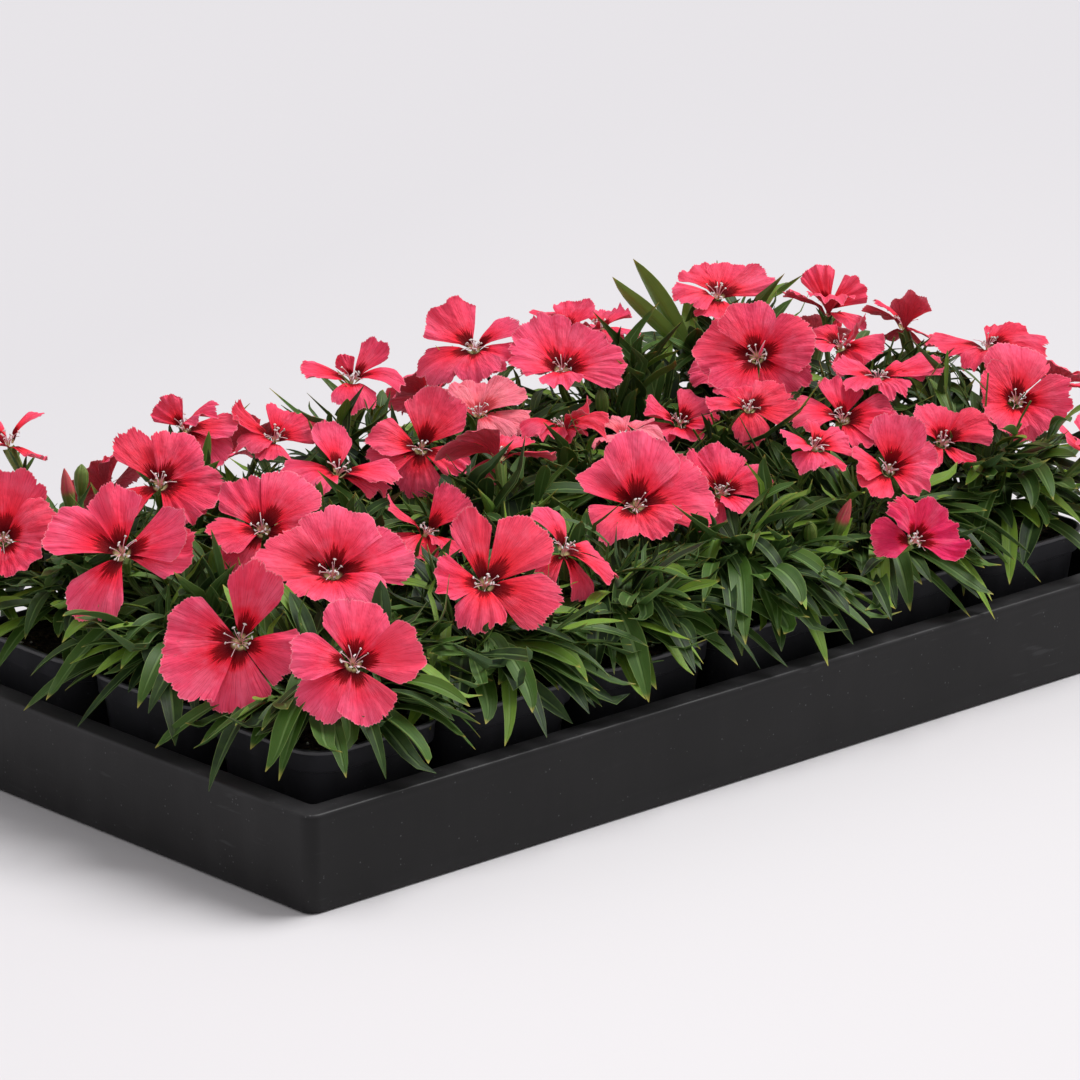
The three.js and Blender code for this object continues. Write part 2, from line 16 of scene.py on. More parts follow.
import bpy
import numpy as np
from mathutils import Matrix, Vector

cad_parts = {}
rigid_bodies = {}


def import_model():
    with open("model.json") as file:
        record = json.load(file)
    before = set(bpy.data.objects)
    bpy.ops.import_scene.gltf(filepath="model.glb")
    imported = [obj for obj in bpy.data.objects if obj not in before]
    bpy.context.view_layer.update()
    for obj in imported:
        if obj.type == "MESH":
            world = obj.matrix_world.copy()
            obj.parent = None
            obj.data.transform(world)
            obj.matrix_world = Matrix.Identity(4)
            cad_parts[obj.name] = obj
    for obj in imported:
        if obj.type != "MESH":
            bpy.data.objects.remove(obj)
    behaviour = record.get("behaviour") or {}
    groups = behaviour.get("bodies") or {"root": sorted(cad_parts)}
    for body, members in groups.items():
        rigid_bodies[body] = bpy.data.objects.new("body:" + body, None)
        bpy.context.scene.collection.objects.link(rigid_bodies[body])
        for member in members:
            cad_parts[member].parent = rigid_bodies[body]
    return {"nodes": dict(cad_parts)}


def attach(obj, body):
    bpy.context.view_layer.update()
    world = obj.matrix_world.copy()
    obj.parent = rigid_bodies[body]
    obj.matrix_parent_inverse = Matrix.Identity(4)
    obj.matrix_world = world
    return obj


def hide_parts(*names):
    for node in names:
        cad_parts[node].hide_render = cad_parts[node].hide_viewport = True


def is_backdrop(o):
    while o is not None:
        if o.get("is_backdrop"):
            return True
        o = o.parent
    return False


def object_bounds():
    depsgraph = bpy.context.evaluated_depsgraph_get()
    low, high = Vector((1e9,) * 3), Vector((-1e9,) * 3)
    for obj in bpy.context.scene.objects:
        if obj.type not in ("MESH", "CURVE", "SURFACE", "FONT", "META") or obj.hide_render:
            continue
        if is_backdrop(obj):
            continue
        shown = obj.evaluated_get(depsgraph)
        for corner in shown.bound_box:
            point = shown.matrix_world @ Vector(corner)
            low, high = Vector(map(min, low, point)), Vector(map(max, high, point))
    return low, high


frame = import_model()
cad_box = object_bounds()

MM = 0.001
TAU = 2 * math.pi
GOLDEN_TURN = math.radians(137.5)
UP = np.array([0.0, 0.0, 1.0])
BODY = "root"
print("frame:", len(frame["nodes"]), "solids")

# %% [markdown]
# ## One way to make every surface
#
# Petals, leaves, stems, stamens, pots and the tray look different, but each is a skin: a row
# of closed rings, one after the other, with a cap on the first and the last ring. A leaf is a
# skin whose rings are flat slivers, and a pot is a skin that climbs outside and goes down
# inside. So one function turns a whole batch of ring rows into faces. Working on the batch as
# one array is what makes thousands of leaves quick.
#
# A skin can come out inside out, when its rings turn the other way. The volume that a mesh
# encloses has a sign that tells, so each copy is measured and turned where it needs to be.

# %% Rings into faces
def skin_faces(rows, around):
    """Faces of one skin of `rows` rings of `around` points: a quad for each step along and
    round it, and strips of quads that close the first and the last ring across."""
    row, side = np.meshgrid(np.arange(rows - 1), np.arange(around), indexing="ij")
    here = row * around + side
    beside = row * around + (side + 1) % around
    walls = np.stack([here, beside, beside + around, here + around], -1).reshape(-1, 4)
    step = np.arange(around // 2 - 1)
    cap = np.stack([step, around - 1 - step, around - 2 - step, step + 1], -1)
    return np.concatenate([walls, cap, cap[:, ::-1] + (rows - 1) * around])


def enclosed(points, faces):
    """Signed volume of each skin: the sum over its quads of a . (b x c) + a . (c x d), over 6."""
    a, b, c, d = (points[:, faces[:, corner]] for corner in range(4))
    first = np.einsum("nfk,nfk->n", a, np.cross(b, c))
    second = np.einsum("nfk,nfk->n", a, np.cross(c, d))
    return (first + second) / 6


def skins(rings):
    """Points and faces of a batch of skins. `rings` has the shape (copies, rows, around, 3)."""
    copies, rows, around, _ = rings.shape
    points = rings.reshape(copies, rows * around, 3)
    faces = skin_faces(rows, around)
    centred = points - points.mean(1, keepdims=True)
    inside_out = enclosed(centred, faces) < 0
    every = np.broadcast_to(faces, (copies, *faces.shape)).copy()
    every[inside_out] = every[inside_out][:, :, ::-1]
    every += (np.arange(copies) * rows * around)[:, None, None]
    return points.reshape(-1, 3), every.reshape(-1, 4)


# %% [markdown]
# A piece is a mesh with its place in its vertices, in metres. The arrays go into the mesh in
# bulk with `foreach_set`. Numbers that differ from leaf to leaf or along a petal, such as how
# yellow it is or how far along it a point lies, are stored on the vertices as attributes, and
# the materials read them there.

# %% Arrays into a piece
SHARP = math.radians(50)


def mesh_from(name, points, quads, attributes=None, sharp=SHARP):
    """A smooth-shaded mesh of quads, with a sharp edge wherever two faces meet at more than
    `sharp`, and one number on each vertex for each of the attributes."""
    mesh = bpy.data.meshes.new(name)
    mesh.vertices.add(len(points))
    mesh.vertices.foreach_set("co", (np.asarray(points) * MM).astype(np.float32).ravel())
    mesh.loops.add(quads.size)
    mesh.loops.foreach_set("vertex_index", quads.astype(np.int32).ravel())
    mesh.polygons.add(len(quads))
    mesh.polygons.foreach_set("loop_start", np.arange(0, quads.size, 4, dtype=np.int32))
    mesh.update(calc_edges=True)
    mesh.polygons.foreach_set("use_smooth", np.ones(len(quads), bool))
    mesh.set_sharp_from_angle(angle=sharp)
    for key, values in (attributes or {}).items():
        layer = mesh.attributes.new(key, "FLOAT", "POINT")
        layer.data.foreach_set("value", np.asarray(values, np.float32).ravel())
    mesh.validate()
    return mesh


def placed(name, data):
    """A new object in the scene that holds a mesh, a camera or a lamp."""
    thing = bpy.data.objects.new(name, data)
    bpy.context.scene.collection.objects.link(thing)
    return thing


def show(mesh, material, slot, *nodes):
    """Shows a mesh as a piece of the flat that rides on its body and stands for the nodes."""
    piece = placed(mesh.name, mesh)
    piece.data.materials.append(material)
    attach(piece, BODY)
    if nodes:
        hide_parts(*nodes)
    return piece


def stretched(shape, **values):
    """Attributes for all the points of some rings: each value stretched over their shape."""
    return {key: np.broadcast_to(value, shape) for key, value in values.items()}


def two_sided(middle, across, half):
    """Rings of thin blades: across the upper side and back across the under side. Also the
    share across at each of a ring's points, and what is 0 on top and 1 underneath."""
    rings = np.concatenate([middle + half, (middle - half)[..., ::-1, :]], axis=-2)
    return rings, np.concatenate([across, across[::-1]]), np.repeat([0, 1], len(across))


def gathered(batches):
    """Several batches of skins as one: their points, quads and attributes, end to end."""
    points, quads, keys = [], [], batches[0][2].keys()
    count = 0
    for batch_points, batch_quads, _ in batches:
        points.append(batch_points)
        quads.append(batch_quads + count)
        count += len(batch_points)
    merged = {key: np.concatenate([np.ravel(batch[2][key]) for batch in batches]) for key in keys}
    return np.concatenate(points), np.concatenate(quads), merged


# %% [markdown]
# ## Shader maths as plain expressions
#
# A material is a graph of nodes, and a graph is hard to read. The small class below wraps a
# node's output, so that `1 - ring * 0.5` adds the Math nodes for us. Colours are blended with
# `blend`, because a Math node would turn them grey, and `coats` lays several over a base. Every
# other node comes from `node`.

# %% A material's graph
class Value:
    """A node's output in a material, with the operators that add Math nodes to its graph."""

    def __init__(self, graph, socket):
        self.graph, self.socket = graph, socket

    def math(self, operation, *others):
        """A Math node that works on this value and others."""
        return self.graph.node("ShaderNodeMath", {"operation": operation}, self, *others)

    def __add__(self, other):
        return self.math("ADD", other)

    def __sub__(self, other):
        return self.math("SUBTRACT", other)

    def __mul__(self, other):
        return self.math("MULTIPLY", other)

    def __rsub__(self, other):
        return self.graph.node("ShaderNodeMath", {"operation": "SUBTRACT"}, other, self)

    __radd__ = __add__
    __rmul__ = __mul__

    def between(self, low, high):
        """0 at low, 1 at high and a soft slope between."""
        settings = {"interpolation_type": "SMOOTHSTEP"}
        return self.graph.node("ShaderNodeMapRange", settings, self, low, high)


MIX_SOCKETS = (0, 6, 7)


class Graph:
    """The node graph of one material, ending in a Principled shader."""

    def __init__(self, name, **constants):
        self.material = bpy.data.materials.new(name)
        self.material.use_nodes = True
        self.tree = self.material.node_tree
        self.shader = self.tree.nodes["Principled BSDF"]
        for key, value in constants.items():
            self.shader.inputs[key.replace("_", " ")].default_value = value

    def node(self, kind, settings=None, *values, output=0, **named):
        """Adds a node of a kind: its settings first, then its inputs by place or by name."""
        made = self.tree.nodes.new(kind)
        for key, value in (settings or {}).items():
            setattr(made, key, value)
        for place, value in list(enumerate(values)) + list(named.items()):
            key = place if isinstance(place, int) else place.replace("_", " ")
            self.join(value, made.inputs[key])
        return Value(self, made.outputs[output])

    def join(self, value, socket):
        """Links a value to an input, or sets the input to a plain number."""
        if isinstance(value, Value):
            self.tree.links.new(value.socket, socket)
        elif value is not None:
            socket.default_value = value

    def attribute(self, name):
        """A number that the mesh carries."""
        return self.node("ShaderNodeAttribute", {"attribute_name": name}, output="Fac")

    def position(self):
        """Where a point of the surface lies, in metres."""
        return self.node("ShaderNodeTexCoord", output="Object")

    def noise(self, vector, scale, detail=2.0):
        """Soft noise about 0.5. A scale of three numbers stretches it along the axes."""
        if isinstance(scale, tuple):
            vector, scale = self.node("ShaderNodeMapping", None, vector, Scale=scale), 1.0
        return self.node("ShaderNodeTexNoise", None, vector, Scale=scale, Detail=detail)

    def vector(self, x, y, z=0.0):
        """Three numbers as one vector."""
        return self.node("ShaderNodeCombineXYZ", None, x, y, z)

    def blend(self, share, first, second):
        """The first colour where share is 0 and the second where it is 1."""
        made = self.tree.nodes.new("ShaderNodeMix")
        made.data_type = "RGBA"
        for socket, value in zip(MIX_SOCKETS, (share, first, second)):
            self.join(colour(*value) if isinstance(value, tuple) else value, made.inputs[socket])
        return Value(self, made.outputs[2])

    def coats(self, base, *layers):
        """The base under coats of colour, each given by the share that it covers."""
        for share, coat in layers:
            base = self.blend(share, base, coat)
        return base

    def bump(self, height, distance, strength):
        """A normal that stands for a relief: the height times the distance, in metres."""
        return self.node("ShaderNodeBump", None, Strength=strength, Distance=distance, Height=height)

    def finish(self, **surface):
        """Links what changes over the surface, and gives the finished material."""
        for key, value in surface.items():
            self.join(value, self.shader.inputs[key.replace("_", " ")])
        return self.material


def colour(red, green, blue):
    """A display colour of 0 to 255 as the linear colour that shaders work in."""
    display = np.array([red, green, blue]) / 255
    linear = np.where(display <= 0.04045, display / 12.92, ((display + 0.055) / 1.055) ** 2.4)
    return (*linear.tolist(), 1.0)


# %% [markdown]
# ## The camera
#
# The camera looks down on the flat's near corner from a few metres away with a long lens, as
# a catalogue picture is taken. Its place and its two angles are named in the flat's own frame.

# %% Camera
IMAGE_WIDTH_PX = 1080
SENSOR_MM = 36.0
CAMERA = {"place": (-2.0132, -2.2048, 1.0298), "yaw": 47.64, "down": 17.65, "focal_px": 6671}


def make_camera(place, yaw, down, focal_px):
    """A camera at a place, turned `yaw` degrees from +X towards +Y and tilted down."""
    data = bpy.data.cameras.new("camera")
    data.sensor_width = SENSOR_MM
    data.lens = focal_px * SENSOR_MM / IMAGE_WIDTH_PX
    camera = placed("camera", data)
    camera.location = place
    camera.rotation_euler = (math.radians(90 - down), 0, math.radians(yaw - 90))
    bpy.context.scene.camera = camera
    print("camera lens", round(data.lens, 1), "mm")


make_camera(**CAMERA)


def sight(pixel):
    """The way from the camera through a pixel of its picture: focal length ahead, pixels right of
    the middle to the right and pixels above the middle upwards, made a length of 1."""
    yaw, down = math.radians(CAMERA["yaw"]), math.radians(CAMERA["down"])
    flat = math.cos(down)
    ahead = np.array([flat * math.cos(yaw), flat * math.sin(yaw), -math.sin(down)])
    right = np.array([math.sin(yaw), -math.cos(yaw), 0.0])
    middle = IMAGE_WIDTH_PX / 2
    above = np.cross(right, ahead)
    way = CAMERA["focal_px"] * ahead + (pixel[0] - middle) * right + (middle - pixel[1]) * above
    return way / np.linalg.norm(way)


# %% [markdown]
# ## Rounded squares that climb: the tray and the packs
#
# The tray and the cell packs are thin moulded plastic. Each is a rounded rectangle carried
# along a profile: up the outside, over the rim, and down the inside to the floor. A profile row
# gives the half length, the half width, the corner radius and the height, so the whole pot is
# one skin, and the slots and notches are cut out of it afterwards.

# %% Profiles
def rounded_rings(profile, steps):
    """Rings of a rounded rectangle: each corner's arc runs round its own centre, which lies
    one corner radius in from both sides. A profile row is (half x, half y, radius, z)."""
    profile = np.asarray(profile, float)
    half_x, half_y, radius, height = (profile[:, [column]] for column in range(4))
    corner = np.repeat(np.arange(4), steps + 1)
    angle = (corner + np.tile(np.linspace(0, 1, steps + 1), 4)) * TAU / 4
    sign_x = np.array([1, -1, -1, 1])[corner]
    sign_y = np.array([1, 1, -1, -1])[corner]
    x = sign_x * (half_x - radius) + radius * np.cos(angle)
    y = sign_y * (half_y - radius) + radius * np.sin(angle)
    return np.stack([x, y, np.broadcast_to(height, x.shape)], -1)[None]


BLOCK_CORNER = 0.01


def box_points(centre, size):
    """The two rings of a plain cutting block, as a skin."""
    half_x, half_y, half_z = np.asarray(size) / 2
    profile = [(half_x, half_y, BLOCK_CORNER, z) for z in (-half_z, half_z)]
    return rounded_rings(profile, 1) + np.asarray(centre)


def carved(name, body, additions, cutters, sharp=SHARP):
    """The body joined with its additions, with the cutters' shapes taken out of it."""
    owner = placed(name, mesh_from(name, *body))
    helpers = []
    for operation, shapes in (("UNION", additions), ("DIFFERENCE", cutters)):
        for shape in shapes:
            helpers.append(placed("tool", mesh_from("tool", *shape)))
            modifier = owner.modifiers.new(operation, "BOOLEAN")
            modifier.operation = operation
            modifier.solver = "MANIFOLD"
            modifier.object = helpers[-1]
    evaluated = owner.evaluated_get(bpy.context.evaluated_depsgraph_get())
    mesh = bpy.data.meshes.new_from_object(evaluated)
    mesh.materials.clear()
    mesh.set_sharp_from_angle(angle=sharp)
    for used in [helper.data for helper in (owner, *helpers)]:
        bpy.data.meshes.remove(used)
    mesh.name = name
    return mesh


# %% [markdown]
# ## Black moulded plastic
#
# The tray and the packs are recycled black polystyrene. Under studio light it isn't black: it
# shows a satin sheen, faint flow streaks, rub marks along the edges and pale dust from the
# potting bench. All of that is colour, roughness and a very shallow bump here. Along the lip
# the colour is paler, partly rubbed wear and partly a painted highlight, and the tray's long
# front side is painted darker as shade.

# %% Plastic
def black_plastic(name, base, dust, roughness, sheen, lip, front_shade=0.0):
    """Satin black plastic: streaks are noise stretched along Z, rubs are fine noise above a
    threshold, and dust specks are the small cells of a Voronoi pattern. Near the height of its
    lip it is paler: rubbed wear and a painted highlight along the edge. The long front side of
    the flat, at the lowest Y, is painted darker by the given share, as painted shade."""
    graph = Graph(name, Specular_IOR_Level=sheen)
    place = graph.position()
    streaks = graph.noise(place, (60.0, 60.0, 9.0), 5.0)
    patches = graph.noise(place, 14.0, 4.0)
    rubs = graph.noise(place, (40.0, 40.0, 260.0), 6.0)
    speck_size = graph.node("ShaderNodeTexVoronoi", None, place, Scale=420.0)
    chosen = graph.noise(place, 160.0, 0.0)
    specks = (1 - speck_size.between(0.10, 0.20)) * chosen.between(0.62, 0.68)
    rub_marks = rubs.between(0.62, 0.75) * patches.between(0.45, 0.6)
    front = 1 - graph.node("ShaderNodeSeparateXYZ", None, place, output=1).between(*FRONT_SIDE)
    height = graph.node("ShaderNodeSeparateXYZ", None, place, output=2)
    # rubbed wear and a painted highlight: paler in a band just under the lip's height
    rub_and_highlight = height.between(lip - 0.0018, lip - 0.0004) * (0.35 + patches.between(0.35, 0.65) * 0.65)
    surface = graph.coats(
        base,
        (patches.between(0.3, 0.75) * 0.5 + streaks.between(0.4, 0.7) * 0.3, dust),
        # painted shade: the long front side is darkened by the given share
        (front * front_shade, FRONT_SHADE_COLOUR),
        (rub_and_highlight * 0.13, RUB_AND_HIGHLIGHT),
        (rub_marks * 0.12 + specks * 0.35, SPECKS),
    )
    relief = streaks * 0.5 + graph.noise(place, 900.0, 2.0) * 0.25
    return graph.finish(
        Base_Color=surface, Roughness=roughness + streaks * 0.12 + rub_marks * 0.1,
        Normal=graph.bump(relief, 0.0003, 0.35),
    )


# The first colour is the painted shade of the long front side, the second the rubbed wear and painted highlight
# at the lip, the third the dust specks and rub marks.
FRONT_SHADE_COLOUR, RUB_AND_HIGHLIGHT, SPECKS = (0, 0, 0), (122, 121, 124), (120, 120, 122)
FRONT_SIDE = (-0.1445, -0.136)
# The tray's last number is the share of painted shade on its long front side.
TRAY_PLASTIC = black_plastic("tray_plastic", (23, 22, 23), (42, 41, 42), 0.42, 0.24, 0.046, 0.5)
PACK_PLASTIC = black_plastic("pack_plastic", (34, 34, 37), (66, 66, 71), 0.28, 0.5, 0.063)

# %% Tray
TRAY_SIZE = {"length": 538.0, "width": 289.0, "height": 46.0}
TRAY_DRAFT = 1.4
TRAY_CORNER = {"outside": 7.0, "shrink": 0.4, "least": 3.0}
TRAY_WALL = 3.0
TRAY_FLOOR = 3.0
TRAY_FOOT = {"inset": 0.8, "height": 0.9}
TRAY_SIDE = {"first": 8.0, "last": 6.0, "rows": 4}
TRAY_BAND = ((0.12, 4.4), (0.0, 3.6), (0.0, 1.3))
TRAY_RIM = {"width": 12.5, "thickness": 4.0, "round": 1.2}
RIM_TURNS = (25, 50, 75, 90)
TRAY_SLOT = {"length": 60.0, "width": 10.0, "depth": 12.0, "columns": 4, "rows": 2}
CORNER_STEPS = 10


def tray_profile():
    """Up the drafted outside wall, round the rim's edge, and back under it to the floor. Each
    point is given by how far in from the outside it lies, and by its height."""
    half_x, half_y = TRAY_SIZE["length"] / 2, TRAY_SIZE["width"] / 2
    top, rim, edge = TRAY_SIZE["height"], TRAY_RIM["width"], TRAY_RIM["round"]
    under = top - TRAY_RIM["thickness"]
    rows = [(TRAY_DRAFT + TRAY_FOOT["inset"], 0.0), (TRAY_DRAFT, TRAY_FOOT["height"])]
    heights = np.linspace(TRAY_SIDE["first"], top - TRAY_SIDE["last"], TRAY_SIDE["rows"])
    rows += [(TRAY_DRAFT * (1 - z / top), z) for z in heights]
    rows += [(inset, top - drop) for inset, drop in TRAY_BAND]
    rows += [(edge * (1 - math.cos(a)), top - edge * (1 - math.sin(a))) for a in np.radians(RIM_TURNS)]
    rows += [(rim - edge, top), (rim - edge / 4, top - edge / 3), (rim, top - edge), (rim, under)]
    rows += [(TRAY_WALL, under), (TRAY_WALL + TRAY_DRAFT, TRAY_FLOOR)]
    corners = [max(TRAY_CORNER["outside"] - inset * TRAY_CORNER["shrink"], TRAY_CORNER["least"])
               for inset, _ in rows]
    return [(half_x - inset, half_y - inset, corner, z) for (inset, z), corner in zip(rows, corners)]


def tray_slots():
    """The drain slots in the tray's floor, as cutting blocks on a grid."""
    columns, rows = TRAY_SLOT["columns"], TRAY_SLOT["rows"]
    for column in range(columns):
        for row in range(rows):
            x = (column - (columns - 1) / 2) * TRAY_SIZE["length"] / columns
            y = (row - (rows - 1) / 2) * TRAY_SIZE["width"] / rows
            size = TRAY_SLOT["length"], TRAY_SLOT["width"], TRAY_SLOT["depth"]
            yield skins(box_points((x, y, 0), size))


tray = carved("carrier_tray", skins(rounded_rings(tray_profile(), CORNER_STEPS)), [], tray_slots())
show(tray, TRAY_PLASTIC, "tray", "tray")
print("tray:", len(tray.polygons), "faces")

# %% [markdown]
# ## The cell packs
#
# A pack is six tapered cells moulded in one thin sheet. Each cell has a plain lip, a band below
# it that the fingers hold, and a step where the wall goes in. Cells of one pack are joined by
# webs just below the lip, and low notches in the walls let water run from cell to cell.

# %% Packs
CELL_PITCH = 83.0
CELL_COLUMNS, CELL_ROWS, PACK_COLUMNS = 6, 3, 2
PACKS = CELL_COLUMNS // PACK_COLUMNS
LETTERS = "abc"
PACK_PINCH = 0.8
CUP_BOTTOM = 3.3
CELL = {"top": 63.0, "half": 40.0, "half_bottom": 31.0, "corner": 17.0, "corner_bottom": 13.0}
CELL_WALL = 1.6
CELL_BASE = 1.5
CELL_BAND = {"height": 10.5, "flare": 1.2, "step": 1.6}
CELL_FOOT = 0.8
CELL_SIDE = ((0.02, 0.0), (0.0, 0.03), (0.33, 0.33), (0.66, 0.66), (0.985, 0.985))
BAND_STEP = ((-1.0, -0.5), (-0.1, 0.0), (0.1, 0.8))
CELL_LIP = ((-0.55, -2.6), (-0.35, -2.2), (0.0, -1.9), (0.0, -0.5), (-0.35, 0.0), (-1.3, 0.0), (-1.6, -0.4))
WEB = {"length": 44.0, "thickness": 2.5, "below": 0.6}
NOTCH = {"length": 24.0, "depth": 9.5, "past": 6.0, "above": 1.0}
DRAIN = 9.0
PACK_SHARP = math.radians(32)


def cells_of(pack):
    """The places of a pack's cells, column by column, each with its row and its number."""
    centre = (pack - (PACKS - 1) / 2) * CELL_PITCH * PACK_COLUMNS
    cells = []
    for column in range(PACK_COLUMNS):
        for row in range(CELL_ROWS):
            x = centre + (column - (PACK_COLUMNS - 1) / 2) * (CELL_PITCH - PACK_PINCH)
            y = (row - (CELL_ROWS - 1) / 2) * CELL_PITCH
            number = (pack * PACK_COLUMNS + column) * CELL_ROWS + row
            cells.append({"x": x, "y": y, "row": row, "column": column, "number": number})
    return cells


ALL_CELLS = [cell for pack in range(PACKS) for cell in cells_of(pack)]


def cup_profile():
    """Up the tapered outside, out over the band and the lip, and down the inside. The side's
    points are shares of its taper and of its height, the others are offsets from an edge."""
    top, half, bottom = CELL["top"], CELL["half"], CELL["half_bottom"]
    band, step = top - CELL_BAND["height"], half - CELL_BAND["flare"]
    rows = []
    for across, up in CELL_SIDE:
        x = bottom + (step - CELL_BAND["step"] - bottom) * across
        rows.append((x - CELL_FOOT if up == 0 else x, CUP_BOTTOM + (band - CUP_BOTTOM) * up))
    rows += [(step + x, band + z) for x, z in BAND_STEP]
    rows += [(half + x, top + z) for x, z in CELL_LIP]
    rows.append((bottom - CELL_WALL, CUP_BOTTOM + CELL_BASE))
    corner = CELL["corner"] - CELL["corner_bottom"]
    rise = top - CUP_BOTTOM
    return [(x, x, CELL["corner_bottom"] + corner * ((z - CUP_BOTTOM) / rise), z) for x, z in rows]


def neighbours(cells):
    """Each pair of cells that touch in a pack: their middle, and whether they lie along X."""
    for a in cells:
        for b in cells:
            along_x = (b["column"], b["row"]) == (a["column"] + 1, a["row"])
            along_y = (b["column"], b["row"]) == (a["column"], a["row"] + 1)
            if along_x or along_y:
                yield (a["x"] + b["x"]) / 2, (a["y"] + b["y"]) / 2, along_x


def bar(x, y, along_x, across, along, bottom, top):
    """A block between two cells: its size across the gap, its size along it, and its heights."""
    size = (across, along) if along_x else (along, across)
    return skins(box_points((x, y, (bottom + top) / 2), (*size, top - bottom)))


def make_pack(pack):
    """Six cups on the webs that join them, with the notches and drain holes cut out."""
    cells = cells_of(pack)
    cup = rounded_rings(cup_profile(), CORNER_STEPS)
    cups = [skins(cup + (cell["x"], cell["y"], 0)) for cell in cells]
    width = CELL_PITCH - 2 * CELL["half"] + CELL_WALL
    web = width, WEB["length"], CELL["top"] - WEB["below"] - WEB["thickness"], CELL["top"] - WEB["below"]
    low, high = CELL["top"] - NOTCH["depth"], CELL["top"] + NOTCH["above"]
    notch = width + NOTCH["past"], NOTCH["length"], low, high
    webs = [bar(*pair, *web) for pair in neighbours(cells)]
    notches = [bar(*pair, *notch) for pair in neighbours(cells)]
    drains = [skins(box_points((cell["x"], cell["y"], CUP_BOTTOM), [DRAIN] * 3)) for cell in cells]
    name = f"cell_pack_{LETTERS[pack]}"
    mesh = carved(name, cups[0], cups[1:] + webs, notches + drains, PACK_SHARP)
    show(mesh, PACK_PLASTIC, "pack", f"pack_{LETTERS[pack]}")
    print(name, len(mesh.polygons), "faces")


for pack in range(PACKS):
    make_pack(pack)

# %% [markdown]
# ## Repeatable chance
#
# No two leaves are alike, but the flat has to come out the same every time. The plants' rule
# draws its numbers from a small seeded formula, and the same formula here draws the same
# leaves, so that each fine leaf grows where its solid is. What is finer than the solids comes
# from numpy's own seeded generator.

# %% Draws
class Draws:
    """state = 1664525 state + 1013904223, modulo 2^32, scaled between low and high."""

    def __init__(self, seed):
        self.state = seed

    def __call__(self, low=0.0, high=1.0):
        self.state = (self.state * 1664525 + 1013904223) % 2**32
        return low + (high - low) * self.state / 2**32


def unit(vectors):
    """Vectors of length 1 along the last axis."""
    vectors = np.asarray(vectors, float)
    return vectors / np.maximum(np.linalg.norm(vectors, axis=-1, keepdims=True), 1e-12)


# %% [markdown]
# ## Where the flowers are
#
# Each flower's solid has a small five-sided hub with petals round it. The hub's points are the
# ones nearest to the middle, so they give the flower's centre and the way it faces, and the
# petals' points give its size and how far it is cupped. The fine flower is built on those.

# %% Flowers from their solids
PETALS = 5
HUB_POINTS = 15
BLOOM_COUNT = 49


def flower_of(number):
    """Centre, axis, uphill and level directions, spin, radius and lift of a flower's solid."""
    name = f"bloom_{number:02d}"
    mesh = frame["nodes"][name].data
    points = np.zeros(len(mesh.vertices) * 3, np.float32)
    mesh.vertices.foreach_get("co", points)
    points = np.unique((points.reshape(-1, 3) / MM).round(3), axis=0).astype(float)
    centre = points.mean(0)
    near = np.argsort(np.linalg.norm(points - centre, axis=1))
    hub, petals = points[near[:HUB_POINTS]], points[near[HUB_POINTS:]]
    centre = hub.mean(0)
    axis = np.linalg.svd(hub - centre)[2][2]
    axis = axis * np.sign(((petals - centre) @ axis).mean())
    corner = hub[np.argmax(np.linalg.norm(np.cross(hub - centre, axis), axis=1))] - centre
    uphill = unit(UP - axis * axis[2])
    level = np.cross(axis, uphill)
    spin = math.atan2(corner @ level, corner @ uphill) + TAU / PETALS / 2
    away = petals - centre
    height = away @ axis
    radius = np.linalg.norm(away - height[:, None] * axis, axis=1)
    return {
        "name": name, "number": number, "centre": centre, "axis": axis, "first": uphill,
        "second": level, "spin": spin, "radius": radius.max(), "cupped": height[radius > 12].mean(),
    }


FLOWERS = [flower_of(number + 1) for number in range(BLOOM_COUNT)]
CENTRES = np.array([flower["centre"] for flower in FLOWERS])
AXES = np.array([flower["axis"] for flower in FLOWERS])
RADII = np.array([flower["radius"] for flower in FLOWERS])
CUPPED = np.array([flower["cupped"] for flower in FLOWERS])
print("flowers:", len(FLOWERS), "radius", RADII.min().round(1), "to", RADII.max().round(1), "mm")

# %% [markdown]
# ## Petals
#
# A dianthus petal is a fan on a narrow claw. Its outer edge is cut into small teeth, fine veins
# run out to them, and the whole blade waves a little. Five of them overlap like a pinwheel,
# each with one side over its neighbour and the other under the next.
#
# The petal's surface is a function of two shares: how far out a point is, and how far across.
# The angle from the petal's middle line is the share across times a spread that grows outwards.
# The distance from the centre is the share out times the edge's own reach at that angle. The
# height adds up an arch, slow waves, a fold, creases and a curl at the rim.
#
# No two flowers open alike. For those that show best, a table says where the eye and the tips of
# the petals stand in the camera's picture, which is 1080 pixels wide, and how many degrees each
# petal spreads to either side of its middle line. The line of sight through a tip comes within
# the petal's reach of the throat at two points. The one whose pitch is nearer to the flower's
# own cup is the tip, or the nearer one where the petal is folded up in front. A petal that
# stands behind its eye faces the camera, so its reach is as long as it looks.

